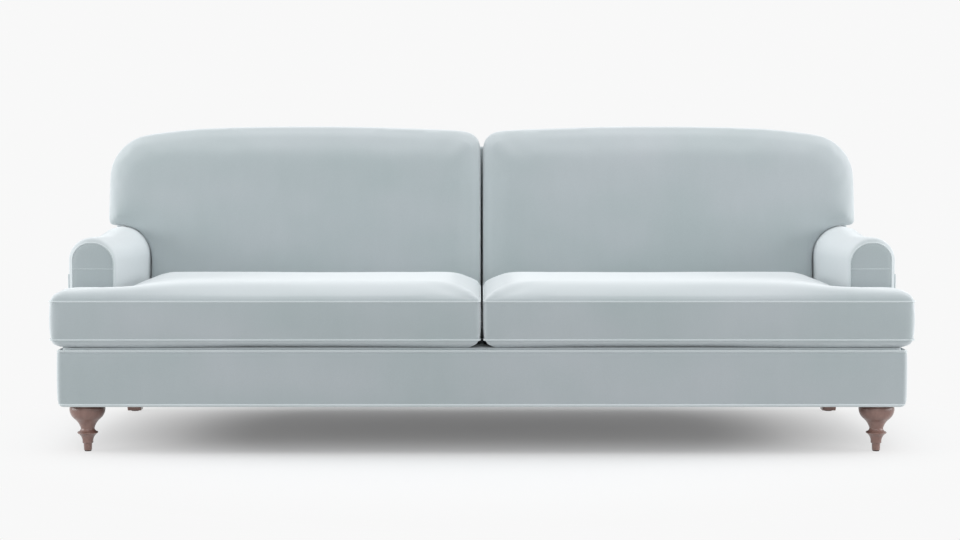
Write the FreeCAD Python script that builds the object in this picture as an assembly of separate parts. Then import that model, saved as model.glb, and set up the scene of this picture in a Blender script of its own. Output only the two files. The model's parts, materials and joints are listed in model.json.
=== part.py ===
import FreeCAD, Part
import os
from math import cos, hypot, inf, radians, sin

# English roll arm sofa: a hardwood frame with upholstery shells, two loose
# L-shaped seat cushions and two loose L-shaped back cushions, on turned front
# legs and plain square rear legs.
# Millimetres. X runs to the sitter's left as seen from the front, Y to the
# back, Z up. The origin is on the floor under the middle of the whole sofa.

# Base
base_width = 2250.0          # over the outside arms
base_depth = 877.0           # border front to outside back, at the bottom
leg_height = 127.0
base_height = 152.0          # welt to welt of the front border
border_wall = 12.0           # wadding and fabric over the front rail
cover_wall = 8.0             # card, wadding and fabric of an outside panel
border_corner = 25.0         # plan radius at the ends of the front border
rail_corner = 15.0           # plan radius of the front rail's ends
border_lip = 17.0            # border above the top of the rails
dust_sheet = 1.0

# Hardwood frame
rail_thickness = 25.0
post_thickness = 38.0
leg_block_side = 75.0
leg_block_height = 45.0
cross_rail_spacing = 720.0
cross_rail_height = 80.0
cross_rail_clearance = 22.0  # under the seat webbing, for its sag

# Seat deck, from the rails upwards
web_thickness = 2.0
web_width = 50.0
web_pitch = 110.0
felt_thickness = 3.0
deck_pad_thickness = 15.0
deck_cloth = 1.5

# Arms
arm_setback = 140.0          # border front to arm facing
arm_taper_length = 449.0     # from the facing to where the arm is fullest
arm_height_front = 571.0
arm_rise = 9.0               # crest, rear above front
arm_width_front = 130.0
arm_widening = 7.0           # width, rear over front
arm_proud_front = 2.0        # roll beyond the outside arm
arm_proud_rear = 3.0
roll_outer_front = 49.0      # radii of the roll, front and rear
roll_inner_front = 68.0
roll_outer_rear = 38.0
roll_inner_rear = 95.0
rim_proud = 6.0              # piped rim before the facing
rim_round = 13.0
facing_inset = 10.0          # facing inside the roll's outline
facing_thickness = 12.0
front_board_thickness = 22.0
arm_padding_inside = 25.0
arm_padding_top = 51.0
arm_roll_lip = 15.0          # roll outside the top board
roll_drop = 101.0            # crest to where the outside arm meets the roll
top_board_thickness = 22.0
top_board_margin = 8.0       # its inner edge from the lining's face
top_board_play = 4.0         # its outer edge from the roll's lip
lining_thickness = 3.0
lower_rail_width = 25.0
lower_rail_height = 60.0
lower_rail_lift = 28.0       # over the rails, so that cloth pulls through

# Back
back_height = 818.0
back_lean = 77.5             # outside back, top behind bottom
back_depth = 132.2           # inside back to outside back at the border's top
back_top_depth = 78.6        # the same at the top
back_padding = 38.0
back_top_padding = 15.0
back_panel_drop = 6.0        # outside back under the top
top_rail_height = 100.0
back_rail_height = 60.0
back_rail_lift = 38.0
back_web_pitch = 135.0
back_top_round = 18.0

# Legs
front_leg_inset = 63.0       # base side to leg axis
front_leg_setback = 64.5     # border front to leg axis
peg_foot_radius = 10.5
peg_top_radius = 11.2
peg_height = 20.0
cove_radius = 14.5           # at the peg
cove_bow = 4.3
collar_radius = 27.0
collar_height = 49.0
collar_edge = 3.5
collar_slope_radius = 26.2
neck_radius = 18.2
neck_height = 62.0
neck_bow = 2.0
waist_radius = 33.5          # where the hollow above the neck turns into the bulb
waist_height = 87.0
waist_bow = 2.3
bulb_radius = 47.5
bulb_below_top = 15.0
bulb_bow = 3.0
leg_top_radius = 45.0
leg_top_band = 3.0
rear_leg_inset = 50.0
rear_leg_setback = 43.0      # outside back to the foot's middle
rear_leg_rake = 20.0         # foot behind the top
rear_foot_side = 41.0
rear_leg_top_side = 56.0
rear_leg_edge = 3.0
glide_height = 3.0
front_glide_radius = 9.0
rear_glide_radius = 12.0
bolt_radius = 4.0
bolt_into_leg = 45.0
bolt_above_nut = 3.0
bolt_play = 0.2
nut_flange_radius = 10.0
nut_flange_thickness = 1.6
nut_barrel_radius = 5.5
nut_barrel_length = 11.0

# Loose cushions
seat_overhang_front = 10.5
seat_overhang_side = 16.0
seat_tuck = 12.5             # seat cushion under the back cushion's round foot
seat_panel_low = 23.2        # bottom panel, rest to seam
seat_boxing = 102.0          # seam to seam
seat_panel_high = 36.0       # top panel, seam to the crown's edge
seat_dome = 10.0             # middle of the crown above its edge
seat_dome_reach = 190.0
seat_dome_rings = ((0.02, 0.0), (0.5, 0.7), (1.0, 1.0))  # shares of the reach and of the dome
seat_dome_round = 0.25       # corner radius over the ring's inset
seat_gap = 4.0               # between the two cushions
seat_side_clearance = 5.0    # cushion to inside arm
ear_clearance = 3.0          # ear to the facing's rim
seat_corner = 30.0
seat_inner_corner = 10.0
back_cushion_top = 879.0
back_cushion_depth = 196.0
back_cushion_proud = 2.0     # cushion back before the inside back
back_cushion_gap = 9.0
back_cushion_inset = 3.0     # wing inside the base's side
back_wing_clearance = 3.5
back_side_clearance = 5.0
back_panel = 28.0            # front or rear panel, seam to the crown's edge
back_dome = 2.0              # middle of the front's crown before its edge
back_dome_reach = 65.0
back_outer_round = 88.0
back_centre_round = 40.0
back_foot_round = 20.0
back_wing_round = 26.0
back_crest_rise = 6.0        # top edge's two slopes, eased as far as they go, meet this far above it
back_centre_drop = 13.0      # top edge, middle to centre corner
back_outer_drop = 28.0       # top edge, middle to outer corner
seam_draw = 6.0              # seams drawn in from the fullest boxing
crown_reach = 62.0           # seam to the crown's edge, across a panel
least_corner = 5.0           # plan radius that a crown's corners keep
cover_cloth = 3.0            # cover with its fibre wrap
fill_clearance = 0.3
rest_clearance = 0.3
zip_length = 640.0
zip_width = 12.0
zip_tape = 1.0
zip_depth = 2.6
slider_length = 14.0
slider_width = 8.0
slider_thickness = 1.2
slider_play = 0.1

# Heights and planes that follow
total_depth = seat_overhang_front + base_depth + back_lean
base_side = base_width / 2
frame_side = base_side - cover_wall
base_front = -total_depth / 2 + seat_overhang_front
rail_front = base_front + border_wall
base_rear = base_front + base_depth
rail_rear = base_rear - cover_wall
rail_bottom = leg_height + dust_sheet
base_top = leg_height + base_height
rail_top = base_top - border_lip
web_top = rail_top + web_thickness
felt_top = web_top + felt_thickness
deck_pad_top = felt_top + deck_pad_thickness
deck_top = deck_pad_top + deck_cloth
facing_plane = base_front + arm_setback
rim_plane = facing_plane - rim_proud
board_front = facing_plane + facing_thickness
board_rear = board_front + front_board_thickness
arm_full_plane = facing_plane + arm_taper_length
arm_inner_front = base_side + arm_proud_front - arm_width_front
arm_inner_rear = base_side + arm_proud_rear - arm_width_front - arm_widening
arm_height_rear = arm_height_front + arm_rise
roll_underside = arm_height_front - roll_drop
lining_inner = arm_inner_front + arm_padding_inside
lining_outer = lining_inner + lining_thickness
arm_core_side = base_side + arm_proud_front - arm_roll_lip
board_top = arm_height_front - arm_padding_top
block_top = rail_bottom + leg_block_height
bolt_top = block_top + nut_flange_thickness + bolt_above_nut
back_frame_top = back_height - back_top_padding
panel_top = back_height - back_panel_drop
lean = back_lean / (panel_top - leg_height)
rake = lean + (back_depth - back_top_depth) / (back_height - base_top)
far = total_depth


def inside_back(z):
    """Y of the inside back's face at height z."""
    return base_rear + base_height * lean - back_depth + (z - base_top) * rake


def back_frame_front(z):
    """Y of the front of the back posts and rails at height z."""
    return inside_back(z) + back_padding


def outside_back(z):
    """Y of the outside back's face at height z."""
    return base_rear + (z - leg_height) * lean


def vector(x, y, z):
    return FreeCAD.Vector(x, y, z)


def box(x0, x1, y0, y1, z0, z1):
    """A box between two corners."""
    return Part.makeBox(x1 - x0, y1 - y0, z1 - z0, vector(x0, y0, z0))


def mirrored(shape):
    """The same piece for the other end of the sofa."""
    return shape.mirror(vector(0, 0, 0), vector(1, 0, 0))


def side_prism(profile, x0, x1):
    """A (y, z) polygon carried along X."""
    points = [vector(x0, y, z) for y, z in profile]
    face = Part.Face(Part.makePolygon(points + points[:1]))
    return face.extrude(vector(x1 - x0, 0, 0))


def rounded_loop(corners, place):
    """A closed outline of lines and tangent arcs.

    Each corner is (a, b, radius); place turns a point (a, b) into space.
    A corner of radius 0 is sharp. A radius that its two sides can't hold is
    limited to what they can.
    """
    count = len(corners)
    arcs = []
    for index, (a, b, radius) in enumerate(corners):
        a0, b0, _ = corners[index - 1]
        a1, b1, _ = corners[(index + 1) % count]
        back = hypot(a0 - a, b0 - b)
        ahead = hypot(a1 - a, b1 - b)
        u0 = ((a0 - a) / back, (b0 - b) / back)
        u1 = ((a1 - a) / ahead, (b1 - b) / ahead)
        cosine = u0[0] * u1[0] + u0[1] * u1[1]
        half_tangent = ((1 + cosine) / (1 - cosine)) ** 0.5
        reach = min(radius * half_tangent, 0.49 * back, 0.49 * ahead)
        middle = (u0[0] + u1[0], u0[1] + u1[1])
        length = hypot(*middle)
        limited = reach / half_tangent
        inward = hypot(reach, limited) - limited
        arcs.append((
            place(a + u0[0] * reach, b + u0[1] * reach),
            place(a + middle[0] / length * inward, b + middle[1] / length * inward),
            place(a + u1[0] * reach, b + u1[1] * reach)))
    edges = []
    for index, (start, crest, end) in enumerate(arcs):
        edges.append(Part.LineSegment(arcs[index - 1][2], start).toShape())
        if corners[index][2]:
            edges.append(Part.Arc(start, crest, end).toShape())
    return Part.Wire(edges)


def loft(wires):
    """A solid through closed outlines, straight from one to the next."""
    solid = Part.makeLoft(wires, True, True)
    if solid.Volume < 0:
        solid.reverse()
    return solid


# The frame

def front_rail():
    rail = box(-frame_side, frame_side, rail_front, rail_front + rail_thickness, rail_bottom, rail_top)
    ends = [edge for edge in rail.Edges
            if edge.BoundBox.ZLength > rail_thickness
            and edge.BoundBox.YMax < rail_front + rail_thickness / 2]
    return rail.makeFillet(rail_corner, ends)


def back_rail():
    return box(-frame_side, frame_side, rail_rear - rail_thickness, rail_rear, rail_bottom, rail_top)


def side_rail():
    return box(frame_side - rail_thickness, frame_side, rail_front + rail_thickness,
               rail_rear - rail_thickness, rail_bottom, rail_top)


def cross_rails():
    rails = []
    top = rail_top - cross_rail_clearance
    for side in (-1, 1):
        middle = side * cross_rail_spacing / 2
        rails.append(box(middle - rail_thickness / 2, middle + rail_thickness / 2,
                         rail_front + rail_thickness, rail_rear - rail_thickness,
                         top - cross_rail_height, top))
    return Part.Compound(rails)


def front_leg_axis():
    return base_side - front_leg_inset, base_front + front_leg_setback


def rear_leg_axis():
    """Middle of the rear leg's top; its foot is rear_leg_rake behind."""
    return base_side - rear_leg_inset, base_rear - rear_leg_setback - rear_leg_rake


def upright_rod(axis, radius, z0, z1):
    return Part.makeCylinder(radius, z1 - z0, vector(axis[0], axis[1], z0))


def leg_bolt_hole(axis):
    return upright_rod(axis, bolt_radius + bolt_play, leg_height - bolt_into_leg, bolt_top)


def leg_block(axis, y0):
    outer = frame_side - rail_thickness
    block = box(outer - leg_block_side, outer, y0, y0 + leg_block_side, rail_bottom, block_top)
    nut_room = upright_rod(axis, nut_barrel_radius, block_top - nut_barrel_length, block_top)
    return block.cut(leg_bolt_hole(axis)).cut(nut_room)


def front_leg_blocks():
    block = leg_block(front_leg_axis(), rail_front + rail_thickness)
    return Part.Compound([block, mirrored(block)])


def rear_leg_blocks():
    block = leg_block(rear_leg_axis(), rail_rear - rail_thickness - leg_block_side)
    return Part.Compound([block, mirrored(block)])


def back_post(x0, x1, top):
    profile = [(back_frame_front(rail_top), rail_top),
               (outside_back(rail_top) - cover_wall, rail_top),
               (outside_back(top) - cover_wall, top),
               (back_frame_front(top), top)]
    return side_prism(profile, x0, x1)


def raked_rail(z0, z1, x0, x1):
    """A rail of the back, its faces parallel to the inside back."""
    profile = [(back_frame_front(z0), z0), (back_frame_front(z0) + rail_thickness, z0),
               (back_frame_front(z1) + rail_thickness, z1), (back_frame_front(z1), z1)]
    return side_prism(profile, x0, x1)


def back_top_rail():
    inner = frame_side - post_thickness
    return raked_rail(back_frame_top - top_rail_height, back_frame_top, -inner, inner)


def back_lower_rails():
    z0 = rail_top + back_rail_lift
    inner = frame_side - post_thickness
    rail = raked_rail(z0, z0 + back_rail_height, post_thickness / 2, inner)
    return Part.Compound([rail, mirrored(rail)])


# The webbing and the seat deck

def places(pitch, limit, half_width):
    """Middles of the straps on one side of the centre line."""
    middles = []
    middle = pitch / 2
    while middle + half_width <= limit:
        middles.append(middle)
        middle += pitch
    return middles


def seat_webbing():
    straps = []
    for middle in places(web_pitch, arm_inner_rear, web_width / 2):
        strap = box(middle - web_width / 2, middle + web_width / 2, rail_front, rail_rear, rail_top, web_top)
        straps += [strap, mirrored(strap)]
    return Part.Compound(straps)


def back_webbing():
    z0 = rail_top + back_rail_lift
    z1 = back_frame_top
    profile = [(back_frame_front(z0) - web_thickness, z0), (back_frame_front(z0), z0),
               (back_frame_front(z1), z1), (back_frame_front(z1) - web_thickness, z1)]
    straps = []
    for middle in places(back_web_pitch, arm_inner_rear, web_width / 2):
        strap = side_prism(profile, middle - web_width / 2, middle + web_width / 2)
        straps += [strap, mirrored(strap)]
    return Part.Compound(straps)


def deck_layer(z0, z1):
    """A T-shaped layer: full width before the arms, then between them."""
    rear = inside_back(z0) - rest_clearance
    right = [(frame_side, rail_front, rail_corner), (frame_side, rim_plane, 0),
             (arm_inner_front, rim_plane, 0), (arm_inner_rear, arm_full_plane, 0), (arm_inner_rear, rear, 0)]
    left = [(-x, y, corner) for x, y, corner in reversed(right)]
    loop = rounded_loop(right + left, lambda x, y: vector(x, y, z0))
    return Part.Face(loop).extrude(vector(0, 0, z1 - z0))


# The base's cover

def front_border():
    """The padded border across the front, returned along both sides."""
    def plan(side, front, corner):
        loop = rounded_loop([(-side, front, corner), (side, front, corner),
                             (side, facing_plane, 0), (-side, facing_plane, 0)],
                            lambda x, y: vector(x, y, leg_height))
        return Part.Face(loop).extrude(vector(0, 0, base_height))
    outer = plan(base_side, base_front, border_corner)
    inner = plan(frame_side, rail_front, rail_corner)
    shelf = box(-base_side, base_side, rim_plane, facing_plane, rail_top, base_top)
    behind = box(-frame_side, frame_side, rail_front + border_corner, far, leg_height, base_top)
    return outer.cut(inner).cut(behind).cut(shelf)


def dust_cover():
    sheet = box(-frame_side, frame_side, rail_front, rail_rear, leg_height, rail_bottom)
    corners = [edge for edge in sheet.Edges
               if edge.BoundBox.ZLength > dust_sheet / 2 and edge.BoundBox.YMax < 0]
    sheet = sheet.makeFillet(rail_corner, corners)
    for axis in (front_leg_axis(), rear_leg_axis()):
        hole = leg_bolt_hole(axis)
        sheet = sheet.cut(hole).cut(mirrored(hole))
    return sheet


# The arms

def arm_outline(y, fullness, inset, foot):
    """The arm's cross-section at y: fullness runs from 0, front, to 1, rear."""
    def between(front, rear):
        return front + (rear - front) * fullness
    outer = base_side + between(arm_proud_front, arm_proud_rear) - inset
    inner = between(arm_inner_front, arm_inner_rear) + inset
    crest = between(arm_height_front, arm_height_rear) - inset
    outer_radius = between(roll_outer_front, roll_outer_rear) - inset
    inner_radius = between(roll_inner_front, roll_inner_rear) - inset
    diagonal = cos(radians(45))
    outer_middle = outer - outer_radius * (1 - diagonal)
    inner_middle = inner + inner_radius * (1 - diagonal)
    start = vector(outer, y, foot)
    shoulder = vector(outer, y, crest - outer_radius)
    crest_outer = vector(outer - outer_radius, y, crest)
    crest_inner = vector(inner + inner_radius, y, crest)
    inner_top = vector(inner, y, crest - inner_radius)
    end = vector(inner, y, foot)
    return Part.Wire([
        Part.LineSegment(start, shoulder).toShape(),
        Part.Arc(shoulder, vector(outer_middle, y, crest - outer_radius * (1 - diagonal)), crest_outer).toShape(),
        Part.LineSegment(crest_outer, crest_inner).toShape(),
        Part.Arc(crest_inner, vector(inner_middle, y, crest - inner_radius * (1 - diagonal)), inner_top).toShape(),
        Part.LineSegment(inner_top, end).toShape(),
        Part.LineSegment(end, start).toShape()])


def arm_form(grow=0.0):
    """The whole upholstered arm, with the piped rim's rounding in front."""
    sections = []
    for angle in (20, 43, 66, 90):
        y = rim_plane + rim_round * (1 - cos(radians(angle)))
        inset = rim_round * (1 - sin(radians(angle)))
        sections.append(arm_outline(y - grow, 0, inset - grow, rail_top))
    sections.append(arm_outline(arm_full_plane, 1, -grow, rail_top))
    sections.append(arm_outline(far, 1, -grow, rail_top))
    return loft(sections)


def behind_arm(clearance):
    """Everything behind the front of the back frame."""
    z0, z1 = 0.0, 2 * back_height
    front = web_thickness + clearance
    return side_prism([(back_frame_front(z0) - front, z0), (2 * far, z0),
                       (2 * far, z1), (back_frame_front(z1) - front, z1)], 0, 2 * base_side)


def facing_slab(y0, y1):
    """The facing's outline carried from y0 to y1."""
    face = Part.Face(arm_outline(y0, 0, facing_inset, rail_top))
    return face.extrude(vector(0, y1 - y0, 0))


def arm_pad():
    pad = arm_form().cut(behind_arm(rest_clearance))
    pad = pad.cut(facing_slab(rim_plane - 1, board_rear))
    wide = 2 * base_side
    under_roll = box(lining_inner, wide, board_rear, far, rail_top, roll_underside)
    roll_core = box(lining_inner, arm_core_side, board_rear, far, rail_top, board_top)
    side_panel = box(frame_side, wide, facing_plane, far, rail_top, roll_underside)
    return pad.cut(under_roll).cut(roll_core).cut(side_panel)


def arm_facing():
    return facing_slab(facing_plane, board_front)


def arm_front_board():
    return facing_slab(board_front, board_rear)


def arm_part(x0, x1, z0, z1, y0=board_rear):
    """A board of the arm, from y0 back to the back post."""
    front = back_frame_front
    profile = [(y0, z0), (front(z0), z0), (front(z1), z1), (y0, z1)]
    return side_prism(profile, x0, x1)


def arm_top_board():
    return arm_part(lining_inner + top_board_margin, arm_core_side - top_board_play,
                    board_top - top_board_thickness, board_top)


def arm_lower_rail():
    z0 = rail_top + lower_rail_lift
    return arm_part(lining_outer, lining_outer + lower_rail_width, z0, z0 + lower_rail_height)


def arm_lining():
    top = board_top - top_board_thickness
    return arm_part(lining_inner, lining_outer, rail_top, top)


def arm_posts():
    middle = (board_rear + back_frame_front(rail_top)) / 2
    post = box(arm_core_side - post_thickness, arm_core_side, middle - post_thickness / 2,
               middle + post_thickness / 2, rail_top, board_top - top_board_thickness)
    return Part.Compound([post, mirrored(post)])


def outside_arm():
    z0, z1 = leg_height, roll_underside
    panel = [(facing_plane, z0), (outside_back(z0) - cover_wall, z0),
             (outside_back(z1) - cover_wall, z1), (facing_plane, z1)]
    return side_prism(panel, frame_side, base_side)


# The back's upholstery

def inside_back_cover():
    """The padded inside back, over the top rail and down both sides."""
    top, foot = back_height, deck_top
    loop = rounded_loop([(inside_back(foot), foot, 0),
                         (outside_back(foot) - cover_wall, foot, 0),
                         (outside_back(top) - cover_wall, top, 0),
                         (inside_back(top), top, back_top_round)],
                        lambda y, z: vector(-base_side, y, z))
    block = Part.Face(loop).extrude(vector(2 * base_side, 0, 0))
    frame_room = side_prism([(back_frame_front(0) - web_thickness, 0), (far, 0), (far, back_frame_top),
                             (back_frame_front(back_frame_top) - web_thickness, back_frame_top)],
                            -frame_side, frame_side)
    block = block.cut(frame_room)
    below = box(frame_side, 2 * base_side, -far, far, 0, roll_underside)
    arm = arm_form(grow=rest_clearance).cut(behind_arm(0))
    for piece in (below, arm):
        block = block.cut(piece).cut(mirrored(piece))
    return block


def outside_back_panel():
    z0, z1 = leg_height, panel_top
    panel = [(outside_back(z0) - cover_wall, z0), (outside_back(z0), z0),
             (outside_back(z1), z1), (outside_back(z1) - cover_wall, z1)]
    return side_prism(panel, -base_side, base_side)


# The legs

def front_leg():
    """A turned leg: peg foot, cove, collar, neck and bulb."""
    def line(r0, z0, r1, z1):
        return Part.LineSegment(vector(r0, 0, z0), vector(r1, 0, z1)).toShape()

    def arc(r0, z0, r1, z1, bow):
        """An arc that swells outwards by bow, or inwards where bow is negative."""
        chord = hypot(r1 - r0, z1 - z0)
        middle = vector((r0 + r1) / 2 + bow * (z1 - z0) / chord, 0,
                        (z0 + z1) / 2 - bow * (r1 - r0) / chord)
        return Part.Arc(vector(r0, 0, z0), middle, vector(r1, 0, z1)).toShape()
    cove_foot = peg_height + cove_radius - peg_top_radius
    collar_top = collar_height + collar_edge
    bulb_height = leg_height - bulb_below_top
    shoulder = leg_height - leg_top_band
    profile = Part.Wire([
        line(0, glide_height, peg_foot_radius, glide_height),
        line(peg_foot_radius, glide_height, peg_top_radius, peg_height),
        line(peg_top_radius, peg_height, cove_radius, cove_foot),
        arc(cove_radius, cove_foot, collar_radius, collar_height, -cove_bow),
        arc(collar_radius, collar_height, collar_slope_radius, collar_top, collar_edge / 4),
        arc(collar_slope_radius, collar_top, neck_radius, neck_height, -neck_bow),
        arc(neck_radius, neck_height, waist_radius, waist_height, -waist_bow),
        arc(waist_radius, waist_height, bulb_radius, bulb_height, bulb_bow),
        arc(bulb_radius, bulb_height, leg_top_radius, shoulder, leg_top_band / 3),
        line(leg_top_radius, shoulder, leg_top_radius, leg_height),
        line(leg_top_radius, leg_height, 0, leg_height),
        line(0, leg_height, 0, glide_height)])
    leg = Part.Face(profile).revolve(vector(0, 0, 0), vector(0, 0, 1), 360)
    x, y = front_leg_axis()
    leg.translate(vector(x, y, 0))
    return leg.cut(leg_bolt_hole((x, y)))


def rear_leg():
    x, y = rear_leg_axis()
    sections = []
    for z, side, shift in ((glide_height, rear_foot_side, rear_leg_rake), (leg_height, rear_leg_top_side, 0.0)):
        half = side / 2
        sections.append(rounded_loop(
            [(x - half, y + shift - half, rear_leg_edge), (x + half, y + shift - half, rear_leg_edge),
             (x + half, y + shift + half, rear_leg_edge), (x - half, y + shift + half, rear_leg_edge)],
            lambda a, b, z=z: vector(a, b, z)))
    return loft(sections).cut(leg_bolt_hole((x, y)))


def glides():
    x, y = rear_leg_axis()
    feet = [upright_rod(front_leg_axis(), front_glide_radius, 0, glide_height),
            upright_rod((x, y + rear_leg_rake), rear_glide_radius, 0, glide_height)]
    return Part.Compound(feet + [mirrored(foot) for foot in feet])


def leg_bolts():
    bolts = [upright_rod(axis, bolt_radius, leg_height - bolt_into_leg, bolt_top)
             for axis in (front_leg_axis(), rear_leg_axis())]
    return Part.Compound(bolts + [mirrored(bolt) for bolt in bolts])


def leg_nuts():
    nuts = []
    for axis in (front_leg_axis(), rear_leg_axis()):
        flange = upright_rod(axis, nut_flange_radius, block_top, block_top + nut_flange_thickness)
        barrel = upright_rod(axis, nut_barrel_radius, block_top - nut_barrel_length, block_top)
        nuts.append(flange.fuse(barrel).cut(leg_bolt_hole(axis)))
    return Part.Compound(nuts + [mirrored(nut) for nut in nuts])


# The loose cushions

fine_panel, fine_boxing = (30, 55, 90), (45, 90, 135)
inner_panel, inner_boxing = (45, 90), (90,)
fine = (fine_panel, fine_boxing)
plain = (inner_panel, inner_boxing)


def crowned_profile(low, boxing, high, shrink, angles):
    """Levels and insets of a boxed cushion's sections, from one panel to the other.

    A panel swells like a quarter ellipse from its drawn-in seam to the
    crown's edge, and the boxing swells like half a sine between the seams.
    """
    panel_angles, boxing_angles = angles
    span = crown_reach - seam_draw

    def panel_inset(angle):
        return seam_draw + span * (1 - cos(radians(angle))) + shrink
    profile = [(low - (low - shrink) * sin(radians(angle)), panel_inset(angle))
               for angle in reversed(panel_angles)]
    profile.append((low, seam_draw + shrink))
    profile += [(low + boxing * (1 - cos(radians(angle))) / 2,
                 seam_draw * (1 - sin(radians(angle))) + shrink) for angle in boxing_angles]
    profile.append((low + boxing, seam_draw + shrink))
    profile += [(low + boxing + (high - shrink) * sin(radians(angle)), panel_inset(angle))
                for angle in panel_angles]
    return profile


def eased(radius, inset):
    """A convex corner's radius after the outline has moved in."""
    return max(radius - inset, least_corner)


cushion_foot = deck_top + rest_clearance
seat_rear = inside_back(deck_top) - back_cushion_proud - back_cushion_depth + seat_tuck
seat_front = base_front - seat_overhang_front
seat_body_side = min(arm_inner_front, arm_inner_rear) - seat_side_clearance


def seat_form(shrink, angles):
    """A boxed L-shaped cushion with crowned panels and drawn-in seams."""
    centre = seat_gap / 2
    ear_side = base_side + seat_overhang_side
    ear_rear = rim_plane - ear_clearance
    wires = []
    for level, inset in crowned_profile(seat_panel_low, seat_boxing, seat_panel_high, shrink, angles):
        inner = eased(seat_inner_corner, inset)
        corners = [(centre + inset, seat_front + inset, inner),
                   (ear_side - inset, seat_front + inset, eased(seat_corner, inset)),
                   (ear_side - inset, ear_rear - inset, inner),
                   (seat_body_side - inset, ear_rear - inset, seat_inner_corner),
                   (seat_body_side - inset, seat_rear - inset, inner),
                   (centre + inset, seat_rear - inset, inner)]
        wires.append(rounded_loop(corners, lambda a, b, z=cushion_foot + level: vector(a, b, z)))
    edge_top = cushion_foot + seat_panel_low + seat_boxing + seat_panel_high - shrink
    rings = []
    for reach, rise in seat_dome_rings:
        inset = crown_reach + shrink + seat_dome_reach * reach
        x0, x1 = centre + inset, seat_body_side - inset
        y0, y1 = seat_front + inset, seat_rear - inset
        corner = inset * seat_dome_round
        rings.append(rounded_loop([(x0, y0, corner), (x1, y0, corner), (x1, y1, corner), (x0, y1, corner)],
                                  lambda a, b, z=edge_top + seat_dome * rise: vector(a, b, z)))
    return loft(wires).fuse(loft(rings))


def seat_zip_room(depth):
    """The zip's slot in the rear boxing: its ends, floor, foot and top."""
    middle_x = (seat_gap / 2 + seat_body_side) / 2
    middle_z = cushion_foot + seat_panel_low + seat_boxing / 2
    return (middle_x - zip_length / 2, middle_x + zip_length / 2, seat_rear - depth,
            middle_z - zip_width / 2, middle_z + zip_width / 2)


def seat_cover():
    shell = seat_form(0.0, fine).cut(seat_form(cover_cloth, plain))
    x0, x1, y0, z0, z1 = seat_zip_room(zip_depth)
    return shell.cut(box(x0, x1, y0, seat_rear + cover_cloth, z0, z1))


def seat_core():
    return seat_form(cover_cloth + fill_clearance, plain)


def seat_zip():
    x0, x1, y0, z0, z1 = seat_zip_room(zip_depth)
    return box(x0, x1, y0, y0 + zip_tape, z0, z1)


def seat_zip_slider():
    x0, _, y0, z0, z1 = seat_zip_room(zip_depth)
    middle = (z0 + z1) / 2
    start = x0 + slider_play
    face = y0 + zip_tape + slider_play
    return box(start, start + slider_length, face, face + slider_thickness,
               middle - slider_width / 2, middle + slider_width / 2)


def back_outline(depth, inset):
    """The L-shaped outline of a back cushion, depth before its rear face."""
    rear = back_cushion_proud + depth
    foot = cushion_foot + inset
    centre = back_cushion_gap / 2 + inset
    body = arm_inner_rear - back_side_clearance - inset
    wing = base_side - back_cushion_inset - inset
    wing_foot = arm_height_rear + back_wing_clearance + inset
    top = back_cushion_top - inset
    corners = [(centre, foot, eased(back_foot_round, inset)),
               (body, foot, eased(back_foot_round, inset)),
               (body, wing_foot, roll_inner_rear + back_wing_clearance),
               (wing, wing_foot, eased(back_wing_round, inset)),
               (wing, top - back_outer_drop, eased(back_outer_round, inset)),
               ((centre + wing) / 2, top + back_crest_rise, inf),
               (centre, top - back_centre_drop, eased(back_centre_round, inset))]
    return rounded_loop(corners, lambda a, b: vector(a, inside_back(b) - rear, b))


def back_form(shrink, angles):
    """A boxed, L-shaped back cushion leaning on the inside back."""
    boxing = back_cushion_depth - 2 * back_panel - back_dome
    profile = crowned_profile(back_panel, boxing, back_panel, shrink, angles)
    profile.append((back_cushion_depth - shrink, crown_reach + back_dome_reach + shrink))
    return loft([back_outline(depth, inset) for depth, inset in profile])


def back_zip_room():
    """The zip's slot in the boxing under the cushion: its sides and roof."""
    middle_x = (back_cushion_gap / 2 + arm_inner_rear) / 2
    depth = back_panel + (back_cushion_depth - 2 * back_panel - back_dome) / 2
    middle_y = inside_back(cushion_foot) - back_cushion_proud - depth
    return (middle_x - zip_length / 2, middle_x + zip_length / 2,
            middle_y - zip_width / 2, middle_y + zip_width / 2, cushion_foot + zip_depth)


def back_cover():
    shell = back_form(0.0, fine).cut(back_form(cover_cloth, plain))
    x0, x1, y0, y1, roof = back_zip_room()
    return shell.cut(box(x0, x1, y0, y1, deck_top, roof))


def back_core():
    return back_form(cover_cloth + fill_clearance, plain)


def back_zip():
    x0, x1, y0, y1, roof = back_zip_room()
    return box(x0, x1, y0, y1, roof - zip_tape, roof)


def back_zip_slider():
    x0, _, y0, y1, roof = back_zip_room()
    middle = (y0 + y1) / 2
    start = x0 + slider_play
    face = roof - zip_tape - slider_play
    return box(start, start + slider_length, middle - slider_width / 2, middle + slider_width / 2,
               face - slider_thickness, face)


single_pieces = {
    "front_rail": front_rail,
    "back_rail": back_rail,
    "cross_rails": cross_rails,
    "front_leg_blocks": front_leg_blocks,
    "rear_leg_blocks": rear_leg_blocks,
    "arm_posts": arm_posts,
    "back_post_centre": lambda: back_post(-post_thickness / 2, post_thickness / 2,
                                          back_frame_top - top_rail_height),
    "back_top_rail": back_top_rail,
    "back_lower_rails": back_lower_rails,
    "seat_webbing": seat_webbing,
    "back_webbing": back_webbing,
    "deck_felt": lambda: deck_layer(web_top, felt_top),
    "deck_pad": lambda: deck_layer(felt_top, deck_pad_top),
    "deck_cover": lambda: deck_layer(deck_pad_top, deck_top),
    "front_border": front_border,
    "dust_cover": dust_cover,
    "inside_back": inside_back_cover,
    "outside_back": outside_back_panel,
    "leg_bolts": leg_bolts,
    "leg_nuts": leg_nuts,
    "glides": glides,
}

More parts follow.
